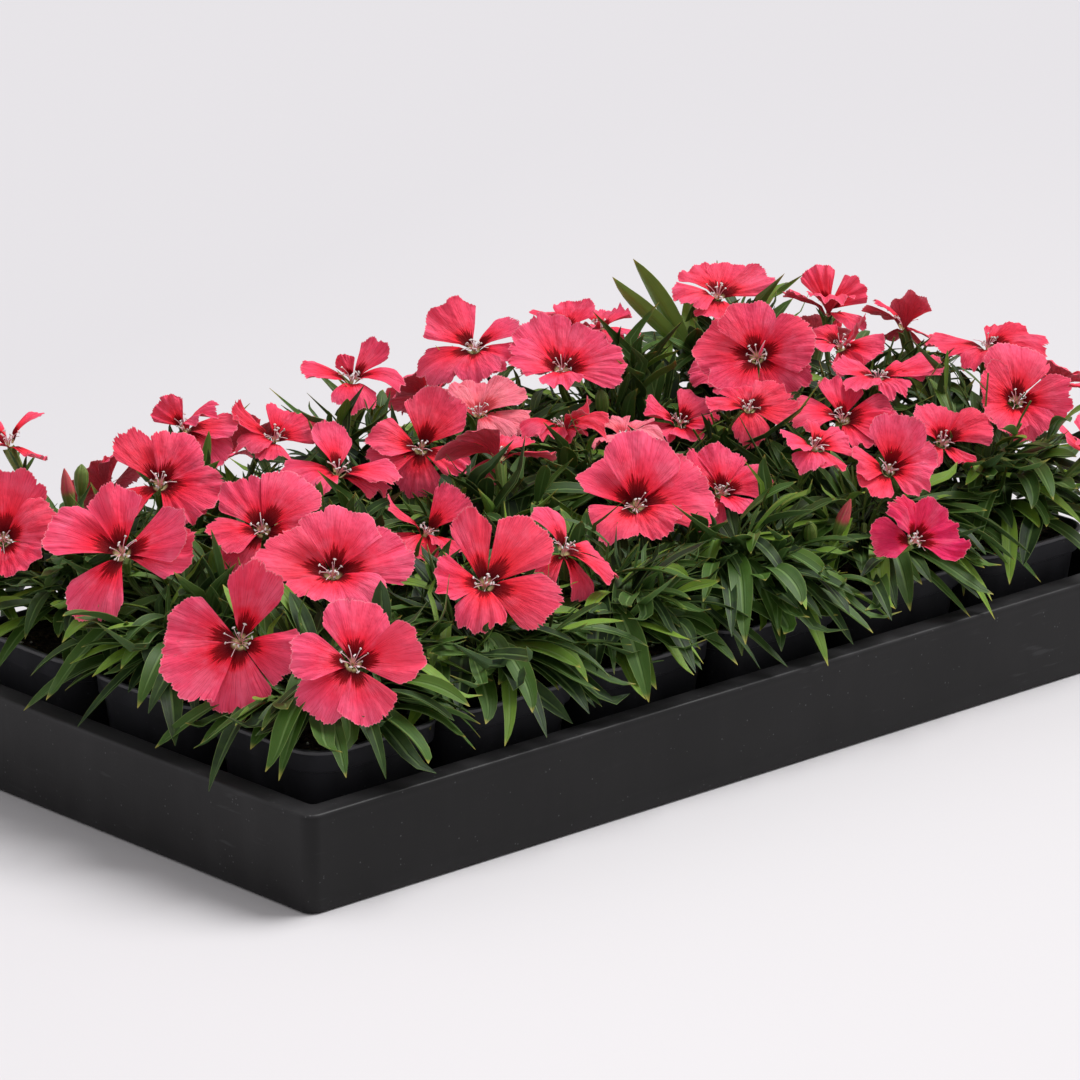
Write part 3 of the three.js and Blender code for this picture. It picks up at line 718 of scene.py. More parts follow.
# %% How the flowers open
SEEN_FLOWERS = {
    1: [(353, 664), (358, 598, 44), (423, 650, 34), (374, 722, 36), (308, 714, 34), (292, 652, 32)],
    2: [(240, 642), (262, 565, 28), (298, 662, 31), (236, 711, 36), (168, 684, 35), (166, 620, 32)],
    3: [(333, 575), (345, 506, 42), (260, 546, 42), (306, 600, 38), (374, 594, 32), (410, 548, 32)],
    4: [(262, 530), (232, 485, 36), (211, 542, 33), (226, 578, 32), (304, 474, 36), (320, 540, 34)],
    5: [(122, 553), (46, 522, 34), (82, 617, 35), (190, 527, 34), (196, 552, 34), (112, 486, 28)],
    6: [(3, 540), (15, 470, 38), (52, 512, 36), (30, 572, 38), (-35, 572, 38), (-45, 512, 38)],
    7: [(160, 484), (122, 434, 28), (189, 433, 40), (222, 494, 34), (196, 520, 30), (110, 512, 24)],
    8: [(485, 585), (465, 511, 21), (541, 524, 30), (558, 608, 32), (478, 625, 33), (433, 577, 30)],
    9: [(560, 545), (543, 506, 34), (607, 552, 26), (616, 577, 26), (588, 596, 24), (535, 590, 26)],
    10: [(636, 507), (588, 462, 36), (645, 432, 42), (712, 487, 42), (672, 530, 34), (602, 527, 38)],
    11: [(722, 492), (720, 444, 38), (770, 478, 34), (743, 510, 28), (706, 518, 28), (682, 457, 28)],
    12: [(915, 540), (872, 537, 44), (903, 498, 40), (940, 503, 38), (960, 534, 34), (968, 556, 26)],
    13: [(815, 446), (838, 472, 26), (806, 464, 28), (786, 440, 32), (852, 440, 32), (822, 424, 28)],
    14: [(843, 418), (838, 379, 38), (789, 414, 42), (895, 402, 24), (895, 424, 32), (868, 447, 36)],
    15: [(882, 468), (903, 415, 42), (935, 452, 34), (928, 482, 34), (868, 492, 36), (854, 458, 34)],
    16: [(943, 442), (911, 412, 38), (941, 402, 36), (990, 418, 34), (970, 466, 26), (920, 462, 30)],
    17: [(1016, 402), (979, 374, 40), (1017, 341, 44), (1073, 398, 38), (1038, 434, 36), (1000, 422, 36)],
    18: [(426, 532), (463, 492, 30), (384, 502, 32), (392, 545, 28), (418, 562, 30), (456, 546, 30)],
    19: [(500, 455), (470, 425, 34), (440, 447, 32), (554, 455, 38), (518, 440, 32), (482, 480, 26)],
    20: [(421, 448), (372, 432, 38), (446, 392, 44), (466, 464, 30), (416, 496, 38), (370, 466, 28)],
    21: [(340, 472), (322, 427, 40), (282, 466, 28), (400, 472, 34), (388, 490, 30), (312, 484, 28)],
    22: [(470, 420), (466, 381, 34), (520, 385, 38), (504, 438, 32), (530, 418, 30), (440, 390, 34)],
    23: [(562, 428), (522, 428, 34), (605, 420, 34), (588, 412, 28), (545, 438, 30), (578, 440, 26)],
    24: [(625, 437), (606, 420, 34), (640, 417, 34), (656, 432, 32), (640, 452, 30), (600, 442, 30)],
    25: [(680, 422), (645, 405, 36), (702, 392, 38), (717, 424, 32), (690, 443, 34), (653, 437, 30)],
    26: [(752, 410), (735, 384, 36), (782, 388, 38), (706, 410, 36), (797, 412, 30), (752, 440, 34)],
    27: [(757, 357), (742, 303, 42), (695, 340, 44), (811, 333, 44), (802, 384, 38), (723, 392, 38)],
    29: [(840, 345), (884, 352, 40), (866, 326, 34), (812, 326, 32), (806, 350, 30), (852, 374, 30)],
    30: [(878, 377), (832, 362, 38), (856, 386, 32), (922, 366, 34), (942, 362, 28), (900, 386, 26)],
    31: [(826, 316), (814, 264, 27), (863, 283, 27), (832, 296, 36), (858, 326, 30), (786, 293, 28)],
    32: [(898, 324), (866, 312, 36), (884, 304, 34), (914, 297, 34), (938, 340, 40), (904, 346, 34)],
    33: [(988, 345), (926, 346, 34), (970, 360, 32), (1000, 324, 22), (1030, 328, 34), (1046, 342, 30)],
    34: [(275, 438), (292, 410, 42), (230, 411, 26), (272, 460, 36), (313, 424, 32), (246, 444, 26)],
    35: [(195, 434), (160, 400, 38), (208, 410, 30), (238, 426, 28), (226, 462, 34), (165, 470, 34)],
    36: [(8, 440), (40, 411, 14), (43, 463, 20), (-20, 412, 32), (-28, 462, 32), (-36, 438, 32)],
    37: [(352, 378), (302, 369, 34), (342, 356, 32), (384, 343, 26), (402, 378, 26), (356, 404, 38)],
    38: [(474, 348), (438, 306, 42), (517, 322, 24), (421, 374, 32), (480, 379, 38), (514, 366, 34)],
    39: [(562, 370), (530, 320, 42), (604, 335, 40), (624, 364, 30), (562, 388, 32), (512, 350, 34)],
    40: [(567, 335), (543, 309, 36), (578, 303, 38), (598, 338, 34), (566, 362, 34), (532, 336, 34)],
    41: [(600, 326), (597, 306, 32), (620, 310, 32), (640, 334, 34), (612, 346, 30), (580, 330, 32)],
    42: [(722, 298), (698, 266, 40), (734, 264, 36), (772, 276, 28), (716, 324, 38), (679, 300, 36)],
}
FOLDED_UP = {7: (4,), 16: (3,), 31: (2,), 32: (2, 3)}
STANDING = {31: (0, 1), 35: (0,), 37: (1,), 7: (1,)}
THROAT_SHIFT = 6.5
SIGHT_FROM = np.array(CAMERA["place"]) / MM


def throat_of(flower):
    """Where the sight line of the flower's eye passes its centre, at most a small shift off."""
    centre = flower["centre"]
    if flower["number"] not in SEEN_FLOWERS:
        return centre
    way = sight(SEEN_FLOWERS[flower["number"]][0])
    shift = SIGHT_FROM + way * ((centre - SIGHT_FROM) @ way) - centre
    return centre + shift * min(1.0, THROAT_SHIFT / max(np.linalg.norm(shift), 1e-9))


def seen_pose(flower, petal, tip):
    """Turn and pitch in radians and reach of a petal whose tip lies on its sight line."""
    number = flower["number"]
    way = sight(tip)
    nearest = SIGHT_FROM + way * ((flower["throat"] - SIGHT_FROM) @ way) - flower["throat"]
    miss = np.linalg.norm(nearest)
    least = 0 if petal in STANDING.get(number, ()) else flower["radius"]
    reach = max(least, miss * 1.04)
    poses = []
    for step in (-1, 1):
        arm = nearest + way * step * math.sqrt(reach**2 - miss**2)
        turn = math.atan2(arm @ flower["second"], arm @ flower["first"])
        poses.append((turn, math.asin(arm @ flower["axis"] / reach), reach))
    if petal in FOLDED_UP.get(number, ()):
        return poses[0]
    cup = math.atan2(flower["cupped"], flower["radius"] * 0.7)
    return min(poses, key=lambda pose: abs(pose[1] - cup))


for flower in FLOWERS:
    flower["throat"] = throat_of(flower)

# %% [markdown]
# Poses alone would look stiff, so the blade between claw and edge is worked out with its own
# small arch, waves, creases and curled rim, drawn anew for each petal.

# %% Petal surfaces
PETAL_OUT = np.array([0, 0.12, 0.26, 0.42, 0.58, 0.74, 0.89, 1.0])
PETAL_TEETH = 24
PETAL_COLUMNS = 2 * PETAL_TEETH + 1
PETAL_THICKNESS = 0.34
THROAT_RADIUS = 1.2
THROAT_DEPTH = 3.0
THROAT_WIDTH = 3.2
CLAW_ANGLE = math.radians(30)
CREASES = 6
RELIEF = {"arch": (-0.6, 2.2), "fold": (-1.4, 2.2), "curl": (-6.0, 3.5), "curl_from": 0.6}
PETAL_EDGE = {
    "rounding": (0.12, 0.28), "power": (2.4, 3.8), "lobes": (0.01, 0.04), "nicks": (0.004, 0.014),
    "teeth": (0.004, 0.026), "between": (-0.008, 0.004), "deep": 0.05, "cut_from": 0.9,
}
EDGE_TURNS = {"lobes": (0.5, 1.5), "nicks": (2, 5)}
OPEN_BY = 0.55
PETAL_ROLL = (1, 8)
HIDDEN_POSE = {"turn": (-7, 7), "pitch": (-12, 12), "roll": (2, 9), "half": (36, 45), "reach": (0.94, 1.04)}


def petal_frame(flower, turn, pitch):
    """A petal's own directions: forward along its middle line, beside it, and upright from it."""
    ahead = math.cos(turn) * flower["first"] + math.sin(turn) * flower["second"]
    beside = math.cos(turn) * flower["second"] - math.sin(turn) * flower["first"]
    forward = math.cos(pitch) * ahead + math.sin(pitch) * flower["axis"]
    upright = math.cos(pitch) * flower["axis"] - math.sin(pitch) * ahead
    return forward, beside, upright


def facing_roll(flower, turn, pitch, way):
    """The roll that turns a petal's width square to a line of sight: tan = - beside / upright."""
    _, beside, upright = petal_frame(flower, turn, pitch)
    facing = math.copysign(1, upright @ way)
    return math.atan2(-facing * (beside @ way), facing * (upright @ way))


def petal_poses(flower, draws):
    """Turn, pitch, roll, half width (all in radians) and reach of a flower's five petals."""
    number, poses = flower["number"], []
    if number in SEEN_FLOWERS:
        for petal, (x, y, half) in enumerate(SEEN_FLOWERS[number][1:]):
            turn, pitch, reach = seen_pose(flower, petal, (x, y))
            roll = math.radians(draws.uniform(*PETAL_ROLL))
            if petal in STANDING.get(number, ()):
                roll = facing_roll(flower, turn, pitch, sight((x, y)))
            poses.append((turn, pitch, roll, math.radians(half), reach))
        return poses
    nominal = math.degrees(math.atan2(flower["cupped"] * 1.1, flower["radius"] * 0.7))
    for petal in range(PETALS):
        turn, pitch, roll, half, reach = (draws.uniform(*span) for span in HIDDEN_POSE.values())
        turn += math.degrees(flower["spin"]) + petal * 360 / PETALS
        poses.append((*np.radians([turn, nominal + pitch, roll, half]), flower["radius"] * reach))
    return poses


def petal_relief(draws, share, across, radius):
    """Height of the blade over its own plane: arch + waves + ruffle + fold + creases + pleats +
    rim curl - the dip into the throat. Each term grows outwards with a power of the share."""
    def wave(low, high, turns, steps):
        """A ripple of a drawn size that runs a drawn number of turns across and out."""
        size = draws.uniform(low, high)
        turn = draws.uniform(-turns, turns) * across + draws.uniform(-steps, steps) * share
        return size * np.sin(TAU * (turn + draws.uniform()))

    def pleats(low, high, most):
        """Sharp ridges that run outwards: the size times 1 - 2 |sin| of a drawn number of turns."""
        lean = draws.uniform(-0.5, 0.5) * share
        turns = draws.uniform(0.5, 1.0) * most * across + lean + draws.uniform()
        return draws.uniform(low, high) * (1 - 2 * np.abs(np.sin(math.pi * turns)))

    arch = draws.uniform(*RELIEF["arch"]) * np.sin(math.pi * share)
    fold = draws.uniform(*RELIEF["fold"]) * np.abs(across) ** 1.5
    curl = draws.uniform(*RELIEF["curl"]) * np.clip(share - RELIEF["curl_from"], 0, 1) ** 2 * 5
    slow = wave(0.8, 2.4, 0.9, 0.2) + fold + sum(wave(0.12, 0.45, 2.4, 2.4) for _ in range(CREASES))
    slow = slow + pleats(0.04, 0.16, 4.0)
    ruffle = wave(0.5, 1.5, 2.4, 0.3) + wave(0.2, 0.55, 5.0, 0.5)
    dip = THROAT_DEPTH * np.exp(-(((radius - THROAT_RADIUS) / THROAT_WIDTH) ** 2))
    return arch + slow * share**1.6 + ruffle * share**3 + curl * share - dip


def petal_skin(flower, pose, draws):
    """Rings of one petal, from its claw to its toothed edge, and its shares as attributes.
    Distance = the edge's reach at that angle x the share out; the edge falls off to both sides
    as 1 - c |across|^p, and every second column is cut back by a tooth."""
    turn, pitch, roll, widest, reach = pose
    out = PETAL_OUT[:, None]
    across = np.linspace(-1, 1, PETAL_COLUMNS)
    across[1:-1] += draws.uniform(-0.35, 0.35, PETAL_COLUMNS - 2) / PETAL_TEETH / 2
    across = across[None]
    opening = np.sin(np.clip(out / OPEN_BY, 0, 1) * TAU / 4)
    angle = across * (CLAW_ANGLE + (widest - CLAW_ANGLE) * opening)
    size = PETAL_EDGE
    rounding = draws.uniform(*size["rounding"]) * np.abs(across) ** draws.uniform(*size["power"])
    lobes, nicks = (
        draws.uniform(*size[key]) * np.sin(TAU * (draws.uniform(*turns) * across + draws.uniform()))
        for key, turns in EDGE_TURNS.items()
    )
    teeth = draws.uniform(*size["teeth"], PETAL_COLUMNS)
    teeth += size["deep"] * (draws.uniform(size=PETAL_COLUMNS) < 1 / 20)
    between = draws.uniform(*size["between"], PETAL_COLUMNS)
    depth = np.where(np.arange(PETAL_COLUMNS) % 2 == 0, teeth, between)
    edge = reach * (1 - rounding + lobes + nicks)
    cut = reach * depth * np.clip((out - size["cut_from"]) / (1 - size["cut_from"]), 0, 1)
    radius = THROAT_RADIUS + (edge - THROAT_RADIUS) * out - cut
    height = petal_relief(draws, radius / reach, across, radius)
    forward, beside, upright = petal_frame(flower, turn, pitch)
    sideways = math.cos(roll) * beside + math.sin(roll) * upright
    upright = math.cos(roll) * upright - math.sin(roll) * beside
    plan = (radius * np.cos(angle))[..., None] * forward + (radius * np.sin(angle))[..., None] * sideways
    middle = flower["throat"] + plan + height[..., None] * upright
    normal = unit(np.cross(np.gradient(middle, axis=0), np.gradient(middle, axis=1)))
    normal = normal * np.sign((normal @ upright).mean())
    thickness = PETAL_THICKNESS * (1 - 0.55 * out) * (1 - 0.5 * across**6)
    return two_sided(middle, across[0], normal * (thickness / 2)[..., None])


# %% [markdown]
# ### The petals' finish
#
# The coral is warmest near the middle and dustier towards the rim. A jagged crimson patch sits
# at each petal's foot, and together they make the flower's dark eye. Fine veins darken the
# blade, and the underside is paler and dull. All of it follows the two shares that the mesh
# carries, so the pattern turns with each petal. A petal is so thin that light comes through it,
# which a little light scattered below the surface and a faint glow of its own stand for.

# %% Petal material
CORAL = {
    "heart": (255, 40, 66), "rim": (255, 86, 124), "pale": (253, 150, 162), "deep": (216, 26, 50),
    "magenta": (222, 36, 100), "soft": (255, 116, 148), "warm": (255, 64, 64), "veins": (176, 6, 40),
    "halo": (238, 10, 26), "eye": (84, 1, 10), "eye_rim": (146, 2, 16), "throat": (222, 206, 150),
    "fringe": (255, 170, 180), "back": (190, 52, 68), "back_rim": (216, 82, 102),
    "back_fringe": (236, 136, 148), "back_veins": (150, 24, 46),
}


def petal_material():
    """Coral blend along the petal, eye patch with a jagged limit, and veins that fan out."""
    graph = Graph(
        "petal", Subsurface_Weight=0.12, Subsurface_Radius=(1.0, 0.3, 0.35), Subsurface_Scale=0.002,
        Specular_IOR_Level=0.1, Emission_Strength=0.08,
    )
    out, across, under, tone = (graph.attribute(key) for key in ("out", "across", "under", "tone"))
    place = graph.position()
    soft = graph.noise(place, 90.0, 3.0)
    jag = graph.noise(graph.vector(across * 9 + tone * 17, tone * 11), 1.0, 2.0)
    fine = graph.noise(graph.vector(across * 16 + tone * 31, out * 1.5, tone * 7), 1.0, 3.0)
    finest = graph.noise(graph.vector(across * 62 + tone * 13, out * 2.5, tone * 5), 1.0, 2.0)
    veins = fine.between(0.52, 0.7) * 0.4 + finest.between(0.5, 0.62) * 0.6
    limit = 0.35 - across * across * 0.14 + (jag - 0.5) * 0.34 + (finest - 0.5) * 0.3
    eye = (1 - (out - limit).between(-0.008, 0.008)) * (1 - tone.between(0.6, 1.0) * 0.7)
    front = graph.coats(
        graph.blend(out.between(0.25, 0.95), CORAL["heart"], CORAL["rim"]),
        (tone.between(0.55, 1.0) * 0.75, CORAL["pale"]),
        ((1 - tone.between(-0.4, 0.3)) * 0.5, CORAL["deep"]),
        ((1 - tone.between(-1.0, -0.4)) * 0.8, CORAL["magenta"]),
        (soft.between(0.42, 0.7) * 0.45, CORAL["soft"]),
        (graph.noise(place, 16.0, 2.0).between(0.42, 0.64) * 0.3, CORAL["warm"]),
        (veins * out.between(0.1, 0.4) * 0.56, CORAL["veins"]),
        ((1 - (out - limit).between(-0.02, 0.14)) * 0.5, CORAL["halo"]),
        (eye, graph.blend(out.between(0.08, 0.36), CORAL["eye"], CORAL["eye_rim"])),
        (1 - out.between(0.02, 0.1), CORAL["throat"]),
        (out.between(0.975, 1.0) * 0.4, CORAL["fringe"]),
    )
    back = graph.coats(
        graph.blend(out.between(0.2, 1.0), CORAL["back"], CORAL["back_rim"]),
        (out.between(0.85, 1.0) * 0.5, CORAL["back_fringe"]),
        (veins * 0.4, CORAL["back_veins"]),
    )
    surface = graph.blend(under, front, back)
    wrinkles = graph.noise(graph.vector(across * 5 + tone * 23, out * 4.5, tone * 3), 1.0, 2.0)
    relief = fine * 0.4 + finest * 0.25 + wrinkles * 1.35
    return graph.finish(
        Base_Color=surface, Emission_Color=surface, Roughness=0.55 + soft * 0.15,
        Normal=graph.bump(relief, 0.0017, 0.65),
    )


PETAL = petal_material()
PETAL_TONE = 0.14
PALE, DEEP, MAGENTA = 1.0, -0.3, -1.0
# The deep tone of flowers 19, 23, 32, 33 and 40 is partly painted shade: they are darkened as flowers that stand
# in shade.
GIVEN_TONES_AND_SHADE = {12: MAGENTA, 19: DEEP, 22: PALE, 23: DEEP, 24: PALE, 32: DEEP, 33: DEEP, 40: DEEP}


def tone_of(number, draws):
    """How pale (towards 1) or how deep (towards -0.4) a flower is, and at -1 how magenta. The deep
    tone given to some flowers is partly painted shade.
    """
    if number in GIVEN_TONES_AND_SHADE:
        return GIVEN_TONES_AND_SHADE[number]
    return float(np.clip(draws.normal(0.2, 0.28), DEEP, 0.6))


def make_flower(flower):
    """The five petals of one flower, as one piece that stands for its solid."""
    draws = np.random.default_rng(4000 + flower["number"])
    tone = tone_of(flower["number"], draws)
    petals = [petal_skin(flower, pose, draws) for pose in petal_poses(flower, draws)]
    rings, across, under = (np.stack(part) for part in zip(*petals))
    tones = tone + draws.uniform(-PETAL_TONE, PETAL_TONE, (PETALS, 1, 1))
    shares = stretched(
        rings.shape[:3], out=PETAL_OUT[:, None], across=across[:, None], under=under[:, None], tone=tones
    )
    mesh = mesh_from(f"petals_{flower['number']:02d}", *skins(rings), shares)
    show(mesh, PETAL, "petal", flower["name"])
    return len(mesh.polygons)


print("petals:", sum(make_flower(flower) for flower in FLOWERS), "faces")

# %% [markdown]
# ## Tubes
#
# Stems, calyxes, stamens and styles are all tubes along a curve. A tube needs a frame that
# slides along its curve without twisting, so each ring's first direction is the last one,
# pressed square to the new tangent.

# %% Tubes along curves
def tube_rings(paths, radii, around):
    """Rings round each path. `paths` is (copies, rows, 3), `radii` is (copies, rows)."""
    tangents = unit(np.gradient(paths, axis=1))
    helper = np.where(np.abs(tangents[:, :1, 2:]) > 0.9, [[[1.0, 0, 0]]], [[[0, 0, 1.0]]])
    first = unit(np.cross(helper, tangents[:, :1]))
    firsts = [first[:, 0]]
    for row in range(1, paths.shape[1]):
        tangent = tangents[:, row]
        last = firsts[-1]
        firsts.append(unit(last - tangent * (last * tangent).sum(-1, keepdims=True)))
    first = np.stack(firsts, 1)
    second = np.cross(tangents, first)
    angle = np.arange(around) * TAU / around
    round_it = np.cos(angle)[:, None] * first[:, :, None] + np.sin(angle)[:, None] * second[:, :, None]
    return paths[:, :, None] + radii[:, :, None, None] * round_it


def bezier(start, control, end, shares):
    """Points on quadratic curves: (1-s)^2 start + 2 s (1-s) control + s^2 end."""
    s = np.asarray(shares)[..., None]
    start, control, end = (np.asarray(p, float)[..., None, :] for p in (start, control, end))
    return (1 - s) ** 2 * start + 2 * s * (1 - s) * control + s**2 * end


# %% [markdown]
# ## Stamens, styles and the throat
#
# From each throat rise about ten stamens: pink threads that lean outwards, each with a small
# pale anther across its tip, and two longer styles that curl over. They catch the light, and
# from arm's length they are what makes the eye look alive.

# %% The eye of each flower
STAMENS = 10
STYLES = 2
STAMEN_ROWS = np.linspace(0, 1, 6)
USUAL_RADIUS = 28.0
STAMEN_SPAN = {"length": (4.0, 8.5), "lean": (0.15, 0.85), "hook": 0.25, "radius": 0.23, "taper": 0.06}
STYLE_SPAN = {"length": 7.5, "lean": 0.7, "hook": 1.8, "radius": 0.32, "taper": 0.16}
THREAD_ROOT = {"aside": 0.7, "below": 2.6}
SWAY = 0.9
ANTHER_HALF = {"length": 0.9, "width": 0.5}


def stamen_material():
    """Pink threads that pale towards the tip."""
    graph = Graph("stamen", Roughness=0.5, Subsurface_Weight=0.1, Subsurface_Scale=0.001)
    out = graph.attribute("out")
    thread = graph.blend(out.between(0.0, 0.45), (232, 214, 170), (238, 156, 170))
    return graph.finish(Base_Color=graph.blend(out.between(0.6, 1.0), thread, (254, 232, 232)))


def anther_material():
    """Pale grey-lilac pollen sacs with a mealy surface."""
    graph = Graph("anther", Roughness=0.75)
    grain = graph.noise(graph.position(), 2600.0, 2.0)
    mealy = graph.blend(grain.between(0.4, 0.65), (222, 212, 212), (252, 248, 242))
    return graph.finish(Base_Color=mealy, Normal=graph.bump(grain, 0.0004, 0.5))


STAMEN, ANTHER = stamen_material(), anther_material()


def eye_threads(flower, draws):
    """Paths of one flower's stamens and styles: straight out of the throat, bending outwards."""
    count = STAMENS + STYLES
    turn = np.arange(count) * GOLDEN_TURN + draws.uniform(0, TAU)
    flat = np.cos(turn)[:, None] * flower["first"] + np.sin(turn)[:, None] * flower["second"]
    is_style = np.arange(count) >= STAMENS
    size = flower["radius"] / USUAL_RADIUS
    length, lean = (
        np.where(is_style, STYLE_SPAN[key], draws.uniform(*STAMEN_SPAN[key], count))
        for key in ("length", "lean")
    )
    length = length * size
    root = flower["throat"] + THREAD_ROOT["aside"] * flat - THREAD_ROOT["below"] * flower["axis"]
    tip = root + length[:, None] * (lean[:, None] * flat + flower["axis"] * (1.15 - lean[:, None] * 0.35))
    control = root + length[:, None] * 0.62 * flower["axis"]
    paths = bezier(root, control, tip, STAMEN_ROWS)
    hook = np.where(is_style, STYLE_SPAN["hook"], STAMEN_SPAN["hook"])[:, None, None]
    hook = hook * (STAMEN_ROWS**4)[:, None]
    sway = draws.uniform(-SWAY, SWAY, (count, 1, 3)) * (STAMEN_ROWS**2)[:, None]
    return paths + hook * (flat[:, None] - flower["axis"] * 0.7) + sway, is_style


def anthers_at(paths, draws):
    """A small bean across the tip of each thread: an ellipsoid of 1.8 by 1 mm."""
    tips, way = paths[:, -1], unit(paths[:, -1] - paths[:, -2])
    across = unit(np.cross(way, draws.normal(size=way.shape)))
    shares = np.linspace(-1, 1, 5)
    spine = tips[:, None] + across[:, None] * (shares * ANTHER_HALF["length"])[:, None]
    bulge = ANTHER_HALF["width"] * np.sqrt(1 - (shares * 0.985) ** 2)
    return tube_rings(spine, np.broadcast_to(bulge, spine.shape[:2]), 4)


def make_eyes():
    """All threads and all anthers of the flat, as one piece each."""
    threads, radii, tips = [], [], []
    style, stamen = (kind["radius"] - kind["taper"] * STAMEN_ROWS for kind in (STYLE_SPAN, STAMEN_SPAN))
    for flower in FLOWERS:
        draws = np.random.default_rng(6000 + flower["number"])
        paths, is_style = eye_threads(flower, draws)
        threads.append(paths)
        radii.append(np.where(is_style[:, None], style, stamen))
        tips.append(anthers_at(paths[:STAMENS], draws))
    rings = tube_rings(np.concatenate(threads), np.concatenate(radii), 4)
    shares = stretched(rings.shape[:3], out=STAMEN_ROWS[:, None])
    show(mesh_from("stamens", *skins(rings), shares), STAMEN, "petal")
    show(mesh_from("anthers", *skins(np.concatenate(tips))), ANTHER, "petal")
    print("threads:", len(rings))


make_eyes()

# %% [markdown]
# ## Which plant carries which flower
#
# The stems follow the plants' own rule. A flower belongs to the plant nearest to the foot of
# its calyx, and its stem leaves that plant's crown on the first side from which it passes clear
# of the other flowers.

# %% Stems' curves
CALYX = {"length": 15.0, "radius": 3.0, "neck": 1.7, "below": 3.3, "tooth": 2.4, "between": 0.9}
STEM = {"radius": 1.5, "start": 83.0, "reach": 9.0, "margin": 1.0, "checks": 8}
STEM_TURNS = (0, 40, -40, 80, -80, 120, -120, 180)
HUB_HEIGHT = 1.6
SEAT_GAP = 0.3
PETAL_WAVE = 6.0
BUD_LENGTH = 13.0
BUDS = [
    (-182, 118, 128, 40, 15), (-196, 112, 124, 100, 10), (-222, -16, 96, 215, 25),
    (-191, -70, 102, 200, 20), (88, 56, 124, 200, 10), (92, -108, 100, 300, 20),
    (76, -100, 96, 220, 25), (172, -66, 116, 90, 15),
]


def clear_of(points, margin, skip=None):
    """Which points keep out of every flower's flat drum, by a margin."""
    away = points[:, None] - CENTRES[None]
    height = (away * AXES[None]).sum(-1)
    radius = np.linalg.norm(away - height[..., None] * AXES[None], axis=-1)
    free = (radius > RADII + margin) | (height > CUPPED + PETAL_WAVE + margin)
    free |= height < -PETAL_WAVE - margin
    if skip is not None:
        free[:, skip] = True
    return free.all(1)


def plant_of(foot):
    """The cell nearest to a point."""
    return min(ALL_CELLS, key=lambda cell: math.hypot(cell["x"] - foot[0], cell["y"] - foot[1]))


def stem_curve(centre, axis, cell, skip=None):
    """Start, control and end of a stem: from the plant's crown into the calyx, square to it."""
    foot = centre - axis * (CALYX["length"] + HUB_HEIGHT / 2 + SEAT_GAP)
    out = np.array([foot[0] - cell["x"], foot[1] - cell["y"], 0.0])
    out *= min(1.0, STEM["reach"] / max(np.linalg.norm(out), 1e-9))
    control = foot - axis * CALYX["length"]
    curves = []
    for turn in np.radians(STEM_TURNS):
        turned = (out[0] * math.cos(turn) - out[1] * math.sin(turn),
                  out[0] * math.sin(turn) + out[1] * math.cos(turn))
        start = np.array([cell["x"] + turned[0], cell["y"] + turned[1], STEM["start"]])
        curves.append((start, control, foot))
        points = bezier(start, control, foot, np.linspace(0, 1, STEM["checks"] + 1))
        if clear_of(points, STEM["radius"] + STEM["margin"], skip).all():
            return curves[-1]
    return curves[0]


IN_VIEW = 0.82
BUD_VIEW = 7.0


def hides(points):
    """Which points stand before a flower or a bud: their sight line, carried on, meets its disc."""
    way = unit(points - SIGHT_FROM)
    beyond = ((SHOWN["centre"] - points[:, None]) * SHOWN["axis"]).sum(-1) / (way @ SHOWN["axis"].T)
    met = points[:, None] + way[:, None] * beyond[..., None] - SHOWN["centre"]
    return ((beyond > 0) & (np.linalg.norm(met, axis=-1) < SHOWN["radius"])).any(1)


def bud_of(row):
    """Tip, axis and plant of a bud."""
    x, y, z, facing, lean = row
    turn, tilt = math.radians(facing), math.radians(lean)
    axis = np.array([math.sin(tilt) * math.cos(turn), math.sin(tilt) * math.sin(turn), math.cos(tilt)])
    return {"tip": np.array([x, y, z], float), "axis": axis, "pink": BUDS.index(row) in PINK_BUDS}


PINK_BUDS = (1, 3, 5, 7)

STALKS = []
for index, flower in enumerate(FLOWERS):
    plant = plant_of(flower["centre"] - flower["axis"] * CALYX["length"])
    curve = stem_curve(flower["centre"], flower["axis"], plant, index)
    STALKS.append({"curve": curve, "plant": plant, "flower": flower})
for row in BUDS:
    bud = bud_of(row)
    centre = bud["tip"] + bud["axis"] * (CALYX["length"] - BUD_LENGTH)
    plant = plant_of(bud["tip"] - bud["axis"] * CALYX["length"])
    STALKS.append({"curve": stem_curve(centre, bud["axis"], plant), "plant": plant, "bud": bud})
BUD_MIDDLES = np.array([s["bud"]["tip"] - s["bud"]["axis"] * BUD_LENGTH / 2 for s in STALKS if "bud" in s])
SHOWN = {
    "centre": np.concatenate([CENTRES, BUD_MIDDLES]),
    "axis": np.concatenate([AXES, unit(SIGHT_FROM - BUD_MIDDLES)]),
    "radius": np.concatenate([RADII * IN_VIEW, np.full(len(BUD_MIDDLES), BUD_VIEW)]),
}
print("stalks:", len(STALKS))

# %% [markdown]
# ## Leaves
#
# A dianthus leaf is a narrow blade with a groove along its midrib. It leaves the stem steeply,
# arches over, and ends in a point that often curls. The midrib is a parabola, as in the plants'
# rule. The blade's width swells before the middle and closes to the point, its section is a
# shallow V, and it may twist and hook at its tip.

# %% Blades
LEAF_THICKNESS = 0.55
HOOK_FROM = 0.72
CURL_FROM = 0.78
UNREST = {"twist": 0.45, "bend": 0.08, "hook": 1.0, "hooked": 0.6, "fold": (0.22, 0.5), "tone": 0.45}


def directions(azimuth):
    """The level directions ahead and to the left of each azimuth."""
    level = 0 * azimuth
    ahead = np.stack([np.cos(azimuth), np.sin(azimuth), level], -1)
    return ahead, np.stack([-np.sin(azimuth), np.cos(azimuth), level], -1)


def arched(rise, length, droop, share):
    """How far out and how high a midrib is: length cos(rise) s, length (sin(rise) s - droop s^2)."""
    return length * np.cos(rise) * share, length * (np.sin(rise) * share - droop * share**2)


